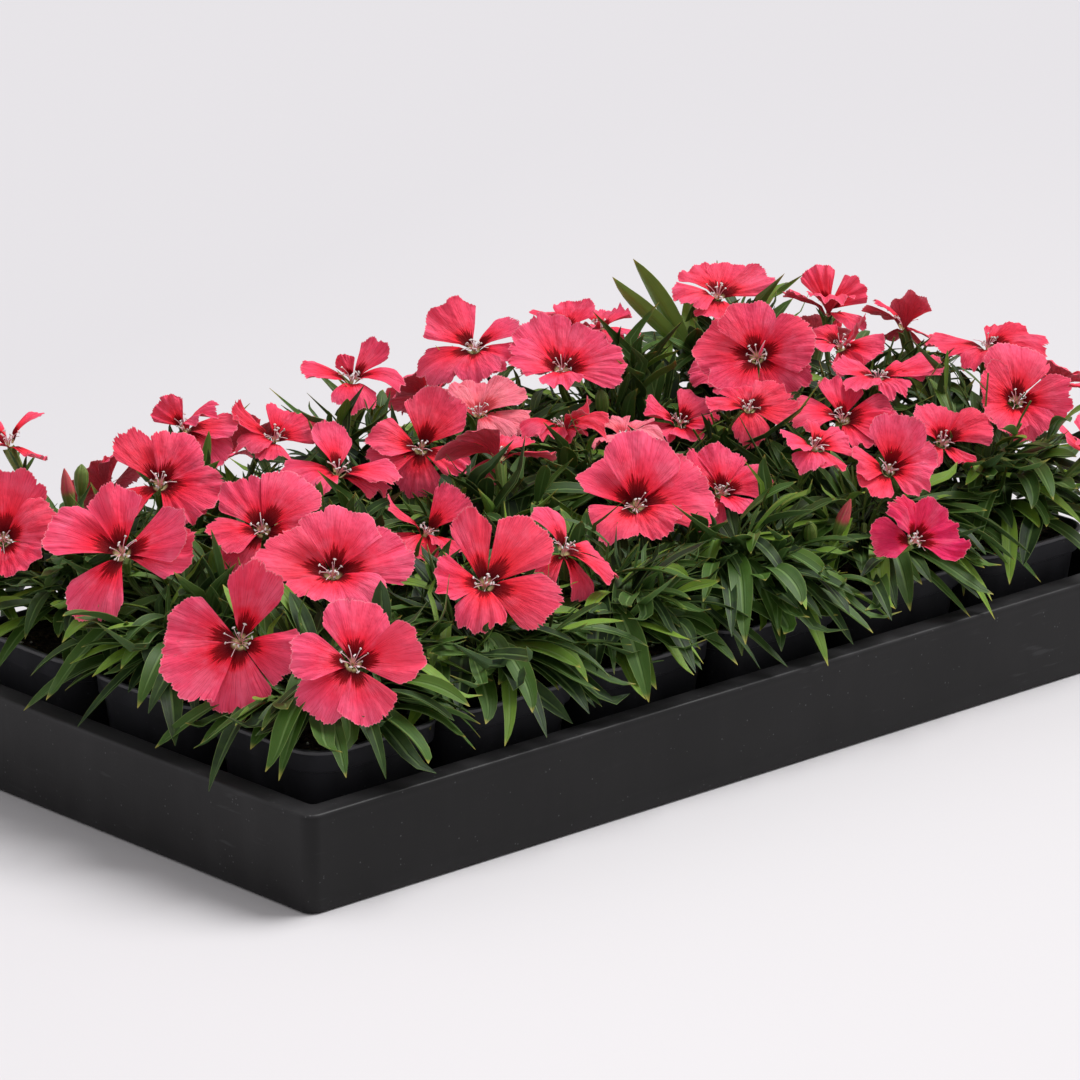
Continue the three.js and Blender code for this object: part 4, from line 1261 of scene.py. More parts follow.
def blades(spec, rows, columns):
    """Rings of many leaves at once. Midrib: root + heading run s + up length (sin(rise) s -
    droop s^2) + sideways bend + tip hook. Half width: width/2 times a swelling that closes."""
    share = np.linspace(0, 1, rows) ** 0.92
    azimuth, rise, length, width, droop, twist, bend, hook, fold, roll = (
        spec[key][:, None] for key in
        ("azimuth", "rise", "length", "width", "droop", "twist", "bend", "hook", "fold", "roll")
    )
    heading, level = directions(azimuth)
    run, climb = arched(rise, length, droop, share)
    sideways = bend * length * share**2 + hook * length * np.clip(share - HOOK_FROM, 0, 1) ** 2 * 3.0
    curled = np.abs(hook) * length * np.clip(share - CURL_FROM, 0, 1) ** 2 * 3.5
    spine = spec["root"][:, None] + heading * run[..., None] + level * sideways[..., None]
    spine = spine + UP * (climb + curled)[..., None]
    tangent = unit(np.gradient(spine, axis=1))
    flat = unit(level - tangent * (level * tangent).sum(-1, keepdims=True))
    up = np.cross(tangent, flat)
    turn = (roll + twist * share)[..., None]
    side = flat * np.cos(turn) + up * np.sin(turn)
    normal = np.cross(tangent, side)
    swell = np.sin(np.pi * (0.12 + 0.88 * share ** 1.2)) ** 0.72
    swell = np.where(share > 0.999, 0.02, swell)
    half = np.maximum(width / 2 * swell, 0.05)
    across = np.linspace(-1, 1, columns)
    spread = side[:, :, None] * (half[..., None] * across)[..., None]
    raised = normal[:, :, None] * (half * fold)[..., None, None] * (np.abs(across) ** 1.25)[:, None]
    middle = spine[:, :, None] + spread + raised
    depth = LEAF_THICKNESS * (1 - 0.6 * across**2) * (0.35 + 0.65 * np.minimum(1, half / 2.5))[..., None]
    rings, both, under = two_sided(middle, across, normal[:, :, None] * (depth / 2)[..., None])
    tone = spec["tone"][:, None, None]
    return rings, stretched(rings.shape[:3], out=share[:, None], across=both, under=under, tone=tone)


def leaf_batch(leaves, draws, rows, columns, restless=1.0, roll=0.0):
    """Leaves from rows of root, azimuth, rise, length, width, droop and freshness, with their own
    bend, twist, hook and fold drawn for each. A calm leaf has less of the first three, and a
    rolled one stands turned about its midrib. For the low leaves of the shoots the freshness is
    partly painted shade."""
    count = len(leaves)
    azimuth, rise, length, width, droop, fresh_and_shade = leaves[:, 3:].T
    spec = {
        "root": leaves[:, :3], "azimuth": azimuth, "rise": rise, "length": length, "width": width,
        "droop": droop, "roll": np.zeros(count) + roll,
    }
    for key in ("twist", "bend", "hook"):
        spec[key] = draws.normal(0, UNREST[key], count) * restless
    spec["hook"] = spec["hook"] * (draws.uniform(size=count) < UNREST["hooked"])
    spec["fold"] = draws.uniform(*UNREST["fold"], count)
    spec["tone"] = np.clip(fresh_and_shade + draws.uniform(-UNREST["tone"], UNREST["tone"], count), 0, 1)
    rings, attributes = blades(spec, rows, columns)
    return *skins(rings), attributes


# %% [markdown]
# ### The leaves' finish
#
# The upper side is a deep, slightly waxy green with a paler groove, the underside is duller and
# greyer, the margins catch a thin light line, and the tips dry to yellow. Young leaves are
# fresher, so a number on each leaf shifts its green; on the shoots the leaves low down, deep in
# the bush, get a darker green that is partly painted shade.

# %% Leaf materials
GREEN = {
    "dark": (21, 40, 18), "light": (62, 94, 28), "young": (126, 160, 52), "mottle": (84, 116, 46),
    "fibre": (40, 70, 30), "rib": (128, 158, 92), "margin": (140, 168, 92), "below": (96, 126, 76),
    "dry": (190, 176, 84),
}
STALK_GREEN = {
    "dark": (70, 104, 44), "light": (112, 140, 62), "flush": (128, 52, 50), "bud": (226, 76, 98),
    "ribs": (176, 170, 100), "mottle": (60, 90, 40),
}


def leaf_material():
    """Green blended by the leaf's own tone, its midrib, its margins and its drying tip."""
    graph = Graph("leaf", Specular_IOR_Level=0.28, Subsurface_Weight=0.08, Subsurface_Scale=0.001)
    out, across, under, tone = (graph.attribute(key) for key in ("out", "across", "under", "tone"))
    place = graph.position()
    mottle = graph.noise(place, 120.0, 3.0)
    fibre = graph.noise(graph.vector(across * 9 + tone * 40, out * 1.2, tone * 9), 1.0, 2.0)
    wide = across * across
    top = graph.coats(
        graph.blend(tone.between(0.0, 0.8), GREEN["dark"], GREEN["light"]),
        (tone.between(0.78, 1.0), GREEN["young"]),
        (mottle.between(0.35, 0.7) * 0.28, GREEN["mottle"]),
        (fibre.between(0.5, 0.7) * 0.25, GREEN["fibre"]),
        ((1 - wide.between(0.0, 0.022)) * (1 - out.between(0.7, 1.0)) * 0.5, GREEN["rib"]),
        (wide.between(0.8, 1.0) * 0.5, GREEN["margin"]),
    )
    drying = out.between(0.93, 1.0) * tone.between(0.3, 0.6) * 0.7
    below = graph.blend(0.45, top, GREEN["below"])
    surface = graph.coats(top, (under * 0.7, below), (drying, GREEN["dry"]))
    relief = (1 - wide.between(0.0, 0.05)) * -0.8 + fibre * 0.5
    return graph.finish(
        Base_Color=surface, Roughness=0.42 + mottle * 0.2, Normal=graph.bump(relief, 0.0005, 0.5)
    )


def stem_material():
    """Stems and calyxes: fresh green with fine ribs, flushed red on some flowers. The buds that
    are about to open, with a tone near 1, end in furled pink petals."""
    graph = Graph("stem", Specular_IOR_Level=0.35, Subsurface_Weight=0.05, Subsurface_Scale=0.001)
    out, across, tone = (graph.attribute(key) for key in ("out", "across", "tone"))
    mottle = graph.noise(graph.position(), 260.0, 3.0)
    ribs = graph.node("ShaderNodeMath", {"operation": "SINE"}, across * (TAU * 10))
    surface = graph.coats(
        graph.blend(tone.between(0.0, 0.8), STALK_GREEN["dark"], STALK_GREEN["light"]),
        (tone.between(0.72, 0.95) * out.between(0.5, 1.0) * 0.7, STALK_GREEN["flush"]),
        (tone.between(0.9, 0.98) * out.between(0.42, 0.62), STALK_GREEN["bud"]),
        (ribs.between(-0.2, 0.9) * 0.25, STALK_GREEN["ribs"]),
        (mottle.between(0.4, 0.7) * 0.25, STALK_GREEN["mottle"]),
    )
    return graph.finish(Base_Color=surface, Roughness=0.5, Normal=graph.bump(ribs, 0.0003, 0.4))


LEAF, STALK = leaf_material(), stem_material()

# %% [markdown]
# ## Where each leaf grows
#
# The big leaves repeat the plants' rule draw for draw. Low ones fan out on the side where a
# plant has no neighbour and arch over the rim; upright ones stand all round. A leaf is drawn
# again until it keeps clear of the flowers, the pots and the next pack.

# %% The rule for the big leaves
LEAF_TRIES = 24
BIG_FRESH = 0.55
LOW_LEAF = {"count": 7, "fan": 112, "rise": 16, "root": 10, "z": 72, "length": 66, "width": 11.5}
LOW_LEAF["droop"] = 0.46
HIGH_LEAF = {"count": 5, "rise": 64, "root": 5, "z": 86, "length": 46, "width": 9, "droop": 0.16}
BIG_LEAF = {
    "turn": (-0.25, 0.25), "z": (-3, 3), "rise": (-12, 14), "length": (0.7, 1.05), "width": (0.8, 1.1),
    "droop": (0.7, 1.2),
}
SOLID_LEAF = {"thickness": 1.1, "fold": 0.12}
BLOOM_MARGIN = 2.5
RIM_MARGIN = 2.5
PACK_MARGIN = 1.5
CHECKED_SHARES = (0.4, 0.55, 0.7, 0.85, 1.0)


def outlines(leaves):
    """The solid leaves' outlines at the checked shares: two edges and the keel of each leaf,
    closing on its tip. Gives an array of (leaves, points, 3)."""
    share = np.array(CHECKED_SHARES)
    azimuth, rise, length, width, droop = (leaves[:, [column]] for column in range(3, 8))
    heading, side = directions(azimuth)
    run, climb = arched(rise, length, droop, share)
    spine = leaves[:, None, :3] + heading * run[..., None] + UP * climb[..., None]
    slope = length * (np.sin(rise) - 2 * droop * share)
    tangent = unit(heading * (length * np.cos(rise))[..., None] + UP * slope[..., None])
    normal = np.cross(tangent, side)
    swell = np.where(share < 1, np.sqrt(np.sin(math.pi * (0.12 + 0.8 * np.minimum(share, 1)))), 0)
    half = (width / 2 * swell)[..., None]
    edge = spine + normal * half * 2 * SOLID_LEAF["fold"]
    keel = spine - normal * np.where(share < 1, SOLID_LEAF["thickness"], 0)[:, None]
    return np.concatenate([edge + side * half, edge - side * half, keel], 1)


def clear_of_pots(points, margin):
    """Over the block of cells a leaf stays above their rims, and outside it above the tray's."""
    over = np.abs(points[..., 0]) < CELL_COLUMNS * CELL_PITCH / 2
    over &= np.abs(points[..., 1]) < CELL_ROWS * CELL_PITCH / 2
    return points[..., 2] > np.where(over, CELL["top"], TRAY_SIZE["height"]) + margin


def inside_pack(points, pack):
    """A leaf stays on its own side of the line between two packs."""
    offset = points[..., 0] - (pack - (PACKS - 1) / 2) * CELL_PITCH * PACK_COLUMNS
    free = np.abs(offset) < CELL_PITCH * PACK_COLUMNS / 2 - PACK_MARGIN
    return free | ((pack == 0) & (offset < 0)) | ((pack == PACKS - 1) & (offset > 0))


def leaves_fit(leaves, pack):
    """Which leaves keep clear of the flowers, the pots and the next pack."""
    points = outlines(leaves)
    fits = clear_of_pots(points, RIM_MARGIN) & inside_pack(points, pack)
    fits &= clear_of(points.reshape(-1, 3), BLOOM_MARGIN).reshape(fits.shape)
    return fits.all(1)


def open_side(cell):
    """The way from a plant to where it has no neighbour: none in the middle of the flat."""
    last = (CELL_COLUMNS - 1) / 2 * CELL_PITCH
    x = math.copysign(1, cell["x"]) if abs(cell["x"]) > last - CELL_PITCH / 2 else 0
    return x, cell["row"] - (CELL_ROWS - 1) / 2


def big_leaves(cell, pack):
    """The leaves of one plant, a row each: root, azimuth, rise, length, width, droop and how fresh
    it is. The few that would stand in front of a flower are left out."""
    draw = Draws(100 + cell["number"])
    open_x, open_y = open_side(cell)
    inner = open_x == 0 and open_y == 0
    outward = draw(0, TAU) if inner else math.atan2(open_y, open_x)
    fan = math.pi if inner else math.radians(LOW_LEAF["fan"])
    leaves = []
    for number in range(LOW_LEAF["count"] + HIGH_LEAF["count"]):
        low = number < LOW_LEAF["count"]
        kind = LOW_LEAF if low else HIGH_LEAF
        turn = fan * ((2 * number + 1) / kind["count"] - 1) if low else number * GOLDEN_TURN
        for attempt in range(LEAF_TRIES):
            turned, lifted, steeper, *sizes = (draw(*span) for span in BIG_LEAF.values())
            azimuth = outward + turn + turned * (1 + attempt / 4)
            x = cell["x"] + kind["root"] * math.cos(azimuth)
            y = cell["y"] + kind["root"] * math.sin(azimuth)
            rise = math.radians(kind["rise"] + steeper)
            sized = [kind[key] * size for key, size in zip(("length", "width", "droop"), sizes)]
            leaf = np.array([x, y, kind["z"] + lifted, azimuth, rise, *sized])
            if leaves_fit(leaf[None], pack)[0]:
                leaves.append([*leaf, BIG_FRESH])
                break
    leaves = np.array(leaves)
    points = outlines(leaves)
    hiding = hides(points.reshape(-1, 3)).reshape(points.shape[:2])
    return leaves[~hiding.any(1)]


# %% [markdown]
# ### Leafy shoots
#
# Between the big leaves each plant is a bush of leafy shoots. Dianthus leaves stand in opposite
# pairs, each pair a quarter turn from the last, and the youngest crowd in a tuft at the top. The
# shoots rise from the crown to a dome just under the plant's flowers, and lean out the more the
# further out they end. Here a leaf is a row of numbers too, so a whole plant is tested at once.
# A fine leaf never hides a flower from the camera, and each plant keeps an even choice of the
# leaves that fit, so that no plant is bare and none is overfull.

# %% Shoots
SHOOTS_A_PLANT = 24
LEAVES_A_PLANT = 112
SHOOT_LEVELS = (0.4, 0.62, 0.82, 1.0)
TUFT = 4
SHOOT = {"turn": (-0.3, 0.3), "reach": (0.88, 1.1), "height": (-9, 5)}
SHOOT_BLADE = {"turn": (-0.3, 0.3), "opening": (0.75, 1.15), "size": (0.75, 1.2), "droop": (0.05, 0.4)}
SHOOT_LEAF = {"length": 47.0, "width": 9.4, "closing": 0.45, "shrinking": 0.35}
FINE_SHOOTS = {"share": 0.22, "slimness": 0.4}
SHOOT_REACH = 40.0
CROWN_FOOT = 64.0
CROWN_EDGE = 84.0
CROWN_FALL = 30.0
CROWN_HEIGHTS = (98, 102, 117, 100, 112, 116, 106, 121, 128, 104, 120, 124, 104, 124, 129, 141, 147, 130)
LEAF_CLEAR = {"flower": 1.2, "rim": 0.8, "wall": 2.0, "overhang": 12.0, "low": 30.0}


def drawn(spans, draws, count):
    """So many numbers in each of some spans."""
    return [draws.uniform(*span, count) for span in spans.values()]


def spread_from(way, opening, turn):
    """Azimuth and rise of leaves that open from a shoot's way by an angle, at a turn round it."""
    level = unit(np.cross(way, [0.31, 0.17, 0.94]))
    other = np.cross(way, level)
    sideways = np.cos(turn)[:, None] * level + np.sin(turn)[:, None] * other
    leaf = np.cos(opening)[:, None] * way + np.sin(opening)[:, None] * sideways
    return np.arctan2(leaf[:, 1], leaf[:, 0]), np.arcsin(np.clip(leaf[:, 2], -1, 1))


def fine_leaves_fit(leaves):
    """The same test for the fine leaves, which may stand closer, and hang a little way outside
    the tray."""
    points = outlines(leaves)
    half_x, half_y = TRAY_SIZE["length"] / 2, TRAY_SIZE["width"] / 2
    past = np.maximum(np.abs(points[..., 0]) - half_x, np.abs(points[..., 1]) - half_y)
    outside = (past > LEAF_CLEAR["wall"]) & (points[..., 2] > LEAF_CLEAR["low"])
    fits = (clear_of_pots(points, LEAF_CLEAR["rim"]) | outside) & (past < LEAF_CLEAR["overhang"])
    fits &= clear_of(points.reshape(-1, 3), LEAF_CLEAR["flower"]).reshape(fits.shape)
    fits &= ~hides(points.reshape(-1, 3)).reshape(fits.shape)
    return fits.all(1)


def shoot_curve(cell, number, top, draws):
    """A shoot's curve from the crown's foot to its tip on the dome: the tips follow a spiral. A
    shoot that would meet a flower stays lower."""
    turned, further, higher = (draws.uniform(*span) for span in SHOOT.values())
    azimuth = number * GOLDEN_TURN + turned
    spread = math.sqrt((number + 0.5) / SHOOTS_A_PLANT)
    way = np.array([math.cos(azimuth), math.sin(azimuth), 0.0])
    root = np.array([cell["x"], cell["y"], CROWN_FOOT])
    reach = SHOOT_REACH * spread * further
    height = top - min(top - CROWN_EDGE, CROWN_FALL) * spread**2 + higher
    for lowered in range(0, 60, 6):
        rise = max(height - lowered, CROWN_EDGE - 8) - CROWN_FOOT
        curve = (root + way * reach * 0.2, root + way * reach * 0.55 + UP * rise * 0.7,
                 root + way * reach + UP * rise)
        if clear_of(bezier(*curve, [0.4, 0.6, 0.8, 1.0]), LEAF_CLEAR["flower"]).all():
            break
    return curve


def even_choice(leaves, most):
    """At most so many of the leaves that fit, spaced evenly over their list."""
    fitting = leaves[fine_leaves_fit(leaves)]
    return fitting[np.linspace(0, len(fitting) - 1, min(most, len(fitting))).astype(int)]


def shoot_leaves(cell, draws):
    """Leaves of a plant's shoots, and the shoots' own curves."""
    leaves, stalks = [], []
    top = CROWN_HEIGHTS[cell["number"]]
    for number in range(SHOOTS_A_PLANT):
        curve = shoot_curve(cell, number, top, draws)
        stalks.append(curve)
        quarter = draws.uniform(0, TAU)
        slim = FINE_SHOOTS["slimness"] if draws.uniform() < FINE_SHOOTS["share"] else 1.0
        for level, share in enumerate(SHOOT_LEVELS):
            place, beyond = bezier(*curve, [share - 0.02, share])
            last = level == len(SHOOT_LEVELS) - 1
            count = TUFT if last else 2
            age = level / (len(SHOOT_LEVELS) - 1)
            turned, opening, size, droop = drawn(SHOOT_BLADE, draws, count)
            turn = quarter + level * TAU / 4 + np.arange(count) * TAU / count + turned
            opening = opening - SHOOT_LEAF["closing"] * age
            azimuth, rise = spread_from(unit(beyond - place), opening, turn)
            size = (1.05 - SHOOT_LEAF["shrinking"] * age) * size
            roots = np.broadcast_to(beyond, (count, 3))
            length = SHOOT_LEAF["length"] * size * slim**0.6
            width = SHOOT_LEAF["width"] * size * slim
            # partly painted shade: leaves low on a shoot, deep inside the bush, get a darker green
            fresh_and_shade = np.full(count, 0.1 + 0.6 * age)
            leaves.append(np.column_stack([roots, azimuth, rise, length, width, droop, fresh_and_shade]))
    return even_choice(np.concatenate(leaves), LEAVES_A_PLANT), stalks


# %% [markdown]
# ### Needles
#
# The tips of the shoots carry young leaves as thin as needles. They stand up steeply, and they
# close the last gaps between the flowers, where a wider leaf would hide one.

# %% Needles
NEEDLES = {"tries": 7, "kept": 26}
NEEDLE = {
    "share": (0.68, 1.0), "azimuth": (0, TAU), "rise": (30, 85), "length": (15, 34),
    "width": (1.6, 3.2), "droop": (0.0, 0.3), "fresh_and_shade": (0.2, 0.9),
}


def needles(stalks, draws):
    """Thin leaves that grow from the upper third of the shoots: an even choice of those that fit."""
    curves = [stalk for stalk in stalks for _ in range(NEEDLES["tries"])]
    share, azimuth, rise, *others = drawn(NEEDLE, draws, len(curves))
    roots = bezier(*(np.array(part) for part in zip(*curves)), share[:, None])[:, 0]
    leaves = np.column_stack([roots, azimuth, np.radians(rise), *others])
    return even_choice(leaves, NEEDLES["kept"])


# %% [markdown]
# ### Leaves that hang over the rims
#
# Where a plant has no neighbour, its lowest leaves grow out over the lip of the cell and hang
# towards the tray. They are the longest leaves and they hide most of the plastic, so they get a
# rule of their own: they leave the crown all round the open side and droop more than the others.

# %% Hanging leaves
SKIRT = {"tries": 700, "length": 55.0, "width": 9.4, "scatter": 0.5, "slope": 0.3}
SKIRT_FOOT = {"fan": (-100, 100), "start": (8, 34), "x": (-9, 9), "y": (-9, 9), "z": (74, 102)}
SKIRT_BLADE = {
    "rise": (-14, 44), "length": (0.6, 1.18), "width": (0.6, 1.25), "droop": (0.3, 0.8),
    "fresh_and_shade": (0.25, 0.85),
}
SKIRT_COUNTS = (25, 32, 48, 34, 0, 24, 42, 0, 24, 44, 0, 24, 46, 0, 24, 48, 44, 36)


def skirt_leaves(cell, draws):
    """The hanging leaves of a plant on the edge of the block: the first that fit, of many."""
    open_x, open_y = open_side(cell)
    if open_x == 0 and open_y == 0:
        return np.zeros((0, 9))
    fan, start, x, y, z = drawn(SKIRT_FOOT, draws, SKIRT["tries"])
    facing = math.atan2(open_y, open_x) + np.radians(fan)
    x = cell["x"] + start * np.cos(facing) + x
    y = cell["y"] + start * np.sin(facing) + y
    azimuth = facing + draws.normal(0, SKIRT["scatter"], SKIRT["tries"])
    rise, length, width, *others = drawn(SKIRT_BLADE, draws, SKIRT["tries"])
    length, width = SKIRT["length"] * length, SKIRT["width"] * width
    place = x, y, z - start * SKIRT["slope"]
    leaves = np.column_stack([*place, azimuth, np.radians(rise), length, width, *others])
    return leaves[fine_leaves_fit(leaves)][: SKIRT_COUNTS[cell["number"]]]


# %% The tall shoot
TALL_FOOT = (203, 84, 86)
TALL_TOP = (176, 88, 119)
TALL_BLADES = [
    ((166, 118, 165), 12, 80), ((154, 124, 155), 9.5, 80), ((206, 119, 141), 8, 0), ((160, 62, 140), 9, 0)
]
TALL_SHARE = 0.93
# a lighter green for the tall blades, partly painted light for blades lit from behind
TALL_TONE_AND_LIGHT = 0.75
TALL_SUNK = 2.0


def tall_leaves():
    """The blades of the leafy shoot that stands above the crown, nearly straight from its top."""
    foot, top = np.array(TALL_FOOT, float), np.array(TALL_TOP, float)
    root = top - unit(top - foot) * TALL_SUNK
    leaves = []
    for tip, width, _ in TALL_BLADES:
        way = np.array(tip, float) - root
        length = float(np.linalg.norm(way))
        azimuth = math.atan2(way[1], way[0])
        rise = math.asin(way[2] / length)
        leaves.append([*root, azimuth, rise, length * TALL_SHARE, width, 0.0, TALL_TONE_AND_LIGHT])
    return np.array(leaves), [(foot, (foot + top) / 2, top)]


# %% Foliage of each pack
SHOOT_RADIUS = 0.9
SHOOT_TIP = 0.6
CALYX_SHARE = 0.5
STEM_GRID, SHOOT_GRID, CALYX_GRID, BUD_GRID = (12, 8), (6, 4), (9, 20), (12, 12)
BIG_GRID, SMALL_GRID = (11, 5), (8, 3)
CALM = {"tall": 0.2, "big": 0.65}


def stalk_batch(curves, thick, thin, rows, around, draws):
    """Tubes along quadratic curves, from one radius to another."""
    share = np.linspace(0, 1, rows)
    paths = bezier(*(np.array(part) for part in zip(*curves)), share)
    radii = np.broadcast_to(thick + (thin - thick) * share, paths.shape[:2])
    rings = tube_rings(paths, radii, around)
    tone = draws.uniform(0, 0.8, len(curves))
    return tube_skins(rings, share * CALYX_SHARE, tone)


def tube_skins(rings, out, tone):
    """Skins of tubes, with the share along, the share round and the tone of each as attributes."""
    around = rings.shape[2]
    turned = np.arange(around) / around
    out, tone = out[:, None], tone[:, None, None]
    return *skins(rings), stretched(rings.shape[:3], out=out, across=turned, tone=tone)


def calyx_batch(stalks, draws):
    """Calyx tubes: they swell from the stem's end, and their top ring has five teeth."""
    rows, around = CALYX_GRID
    share = np.linspace(0, 1, rows)
    feet = np.array([stalk["curve"][2] for stalk in stalks])
    flowers = [stalk["flower"] for stalk in stalks]
    ends = np.array([flower["throat"] - CALYX["below"] * flower["axis"] for flower in flowers])
    axes = unit(ends - feet)
    paths = feet[:, None] + (ends - feet)[:, None] * share[:, None]
    swell = CALYX["neck"] + (CALYX["radius"] - CALYX["neck"]) * np.sin(share * TAU / 4) ** 0.8
    rings = tube_rings(paths, np.broadcast_to(swell, paths.shape[:2]), around)
    point = np.arange(around)
    teeth = np.where(point % 4 == 0, CALYX["tooth"], 0) + np.where(point % 2 == 1, CALYX["between"], 0)
    rings = rings - axes[:, None, None] * ((CALYX["tooth"] - teeth) * (share**6)[:, None])[..., None]
    out = CALYX_SHARE + share * (1 - CALYX_SHARE)
    return tube_skins(rings, out, draws.uniform(0, 0.88, len(stalks)))


BUD_POINT = 6.0
BUD_ROOT = 2.0
PLUMP = [0, 0.15, 0.45, 0.75, 0.93, 1], [1.3, 2.4, 3.5, 3.3, 1.6, 0.3]
SLIM = [0, 0.15, 0.45, 0.6, 0.85, 1], [1.3, 2.3, 3.1, 3.3, 2.0, 0.3]


def bud_batch(buds, draws):
    """Buds: a plump green calyx, from which the pink ones put out a longer, slimmer point."""
    rows, around = BUD_GRID
    share = np.linspace(0, 1, rows)
    tips = np.array([bud["tip"] for bud in buds])
    axes = np.array([bud["axis"] for bud in buds])
    pink = np.array([bud["pink"] for bud in buds])[:, None]
    ahead = BUD_POINT * pink * share**2
    paths = tips[:, None] + axes[:, None] * (ahead - (1 - share) * (BUD_LENGTH + BUD_ROOT))[..., None]
    radii = np.where(pink, np.interp(share, *SLIM), np.interp(share, *PLUMP))
    rings = tube_rings(paths, radii, around)
    tone = np.where(pink[:, 0], 1.0, draws.uniform(0.3, 0.8, len(buds)))
    return tube_skins(rings, share, tone)


BRACTS = {"count": 4, "width": 2.6, "upright": 0.75}
BRACT = {"turn": (-0.3, 0.3), "lift": (-0.2, 0.1), "length": (9, 15), "droop": (-0.1, 0.1)}


def bracts(stalks, draws):
    """Two small pairs of pointed leaves at the foot of each calyx."""
    leaves = []
    for stalk in stalks:
        foot, axis = stalk["curve"][2], stalk["flower"]["axis"]
        steep = math.asin(np.clip(axis[2], -1, 1)) * BRACTS["upright"]
        for number in range(BRACTS["count"]):
            turn, lift, length, droop = (draws.uniform(*span) for span in BRACT.values())
            azimuth = number * TAU / BRACTS["count"] + turn
            leaves.append([*foot, azimuth, steep + lift, length, BRACTS["width"], droop, BIG_FRESH])
    return np.array(leaves)


def make_foliage(pack):
    """The leaves of a pack's plants as one piece, and their stems, calyxes and buds as another."""
    cells = cells_of(pack)
    numbers = [cell["number"] for cell in cells]
    draws = np.random.default_rng(7000 + pack)
    big = [big_leaves(cell, pack) for cell in cells]
    small, curves = [], []
    for cell in cells:
        leaves, stalks = shoot_leaves(cell, draws)
        small += [leaves, needles(stalks, draws)]
        curves += stalks
    skirts = [skirt_leaves(cell, draws) for cell in cells]
    batches = []
    if pack == PACKS - 1:
        leaves, stalks = tall_leaves()
        turned = np.radians([roll for _, _, roll in TALL_BLADES])
        batches.append(leaf_batch(leaves, draws, *BIG_GRID, CALM["tall"], turned))
        curves += stalks
    own = [stalk for stalk in STALKS if stalk["plant"]["number"] in numbers]
    flowering = [stalk for stalk in own if "flower" in stalk]
    buds = [stalk["bud"] for stalk in own if "bud" in stalk]
    small.append(bracts(flowering, draws))
    big, small = np.concatenate(big + skirts), np.concatenate(small)
    batches += [leaf_batch(big, draws, *BIG_GRID, CALM["big"]), leaf_batch(small, draws, *SMALL_GRID)]
    points, quads, attributes = gathered(batches)
    letter = LETTERS[pack]
    show(mesh_from(f"leaves_{letter}", points, quads, attributes), LEAF, "foliage", f"foliage_{letter}")
    tubes = [
        stalk_batch([stalk["curve"] for stalk in own], STEM["radius"], STEM["radius"], *STEM_GRID, draws),
        stalk_batch(curves, SHOOT_RADIUS, SHOOT_TIP, *SHOOT_GRID, draws),
        calyx_batch(flowering, draws),
    ]
    if buds:
        tubes.append(bud_batch(buds, draws))
    points, quads, attributes = gathered(tubes)
    show(mesh_from(f"stems_{letter}", points, quads, attributes), STALK, "foliage")
    print(f"foliage {letter}:", len(big), "big leaves,", len(small), "small,", len(quads), "stem faces")


for pack in range(PACKS):
    make_foliage(pack)

# %% [markdown]
# ## Potting soil
#
# Peaty potting mix fills each cell to a finger below the rim. What shows between the leaves is a
# dark, crumbly surface with bits of bark and white perlite. The surface is a rounded square of
# rings, raised by a sum of waves, and the crumbs are small lumpy beads scattered over it.

# %% Soil
SOIL = {"top": 57.0, "gap": 0.4, "bottom": 6.0, "middle": 30.0, "rings": 18, "corner": 16.0}
SOIL_WAVES = ((22.0, 0.8), (11.0, 0.5), (6.0, 0.35), (3.5, 0.2))
CLODS = {"each": 22, "size": (0.5, 2.2)}
GRAINS = {"each": 10, "size": (0.7, 1.5)}
SCATTER = {"half": 36, "diagonal": 60, "above": 0.8}
BEAD_GRID = (5, 6)


def soil_material():
    """Dark peat: brown grains over near black, with a rough crumbly bump."""
    graph = Graph("soil", Roughness=0.95, Specular_IOR_Level=0.2)
    place = graph.position()
    grains = graph.noise(place, 420.0, 5.0)
    clods = graph.noise(place, 110.0, 3.0)
    brown = graph.blend(grains.between(0.42, 0.62), (24, 18, 14), (70, 52, 38))
    mixed = graph.blend(clods.between(0.4, 0.65) * 0.5, brown, (36, 28, 22))
    return graph.finish(Base_Color=mixed, Normal=graph.bump(grains + clods, 0.003, 0.9))


def perlite_material():
    """White, porous perlite beads, a little soiled."""
    graph = Graph("perlite", Roughness=0.85)
    pores = graph.noise(graph.position(), 1500.0, 3.0)
    dirty = graph.blend(pores.between(0.35, 0.6), (150, 140, 128), (228, 224, 216))
    return graph.finish(Base_Color=dirty, Normal=graph.bump(pores, 0.0006, 0.8))


SOIL_FINISH, PERLITE = soil_material(), perlite_material()


def lumps(points, seed):
    """A bumpy height for each point: a few waves of different lengths and directions."""
    draws = np.random.default_rng(seed)
    height = np.zeros(len(points))
    for wave, size in SOIL_WAVES:
        for _ in range(3):
            turn = draws.uniform(0, TAU)
            along = points[:, 0] * math.cos(turn) + points[:, 1] * math.sin(turn)
            height += size * np.sin(TAU * along / wave + draws.uniform(0, TAU)) / 2
    return height


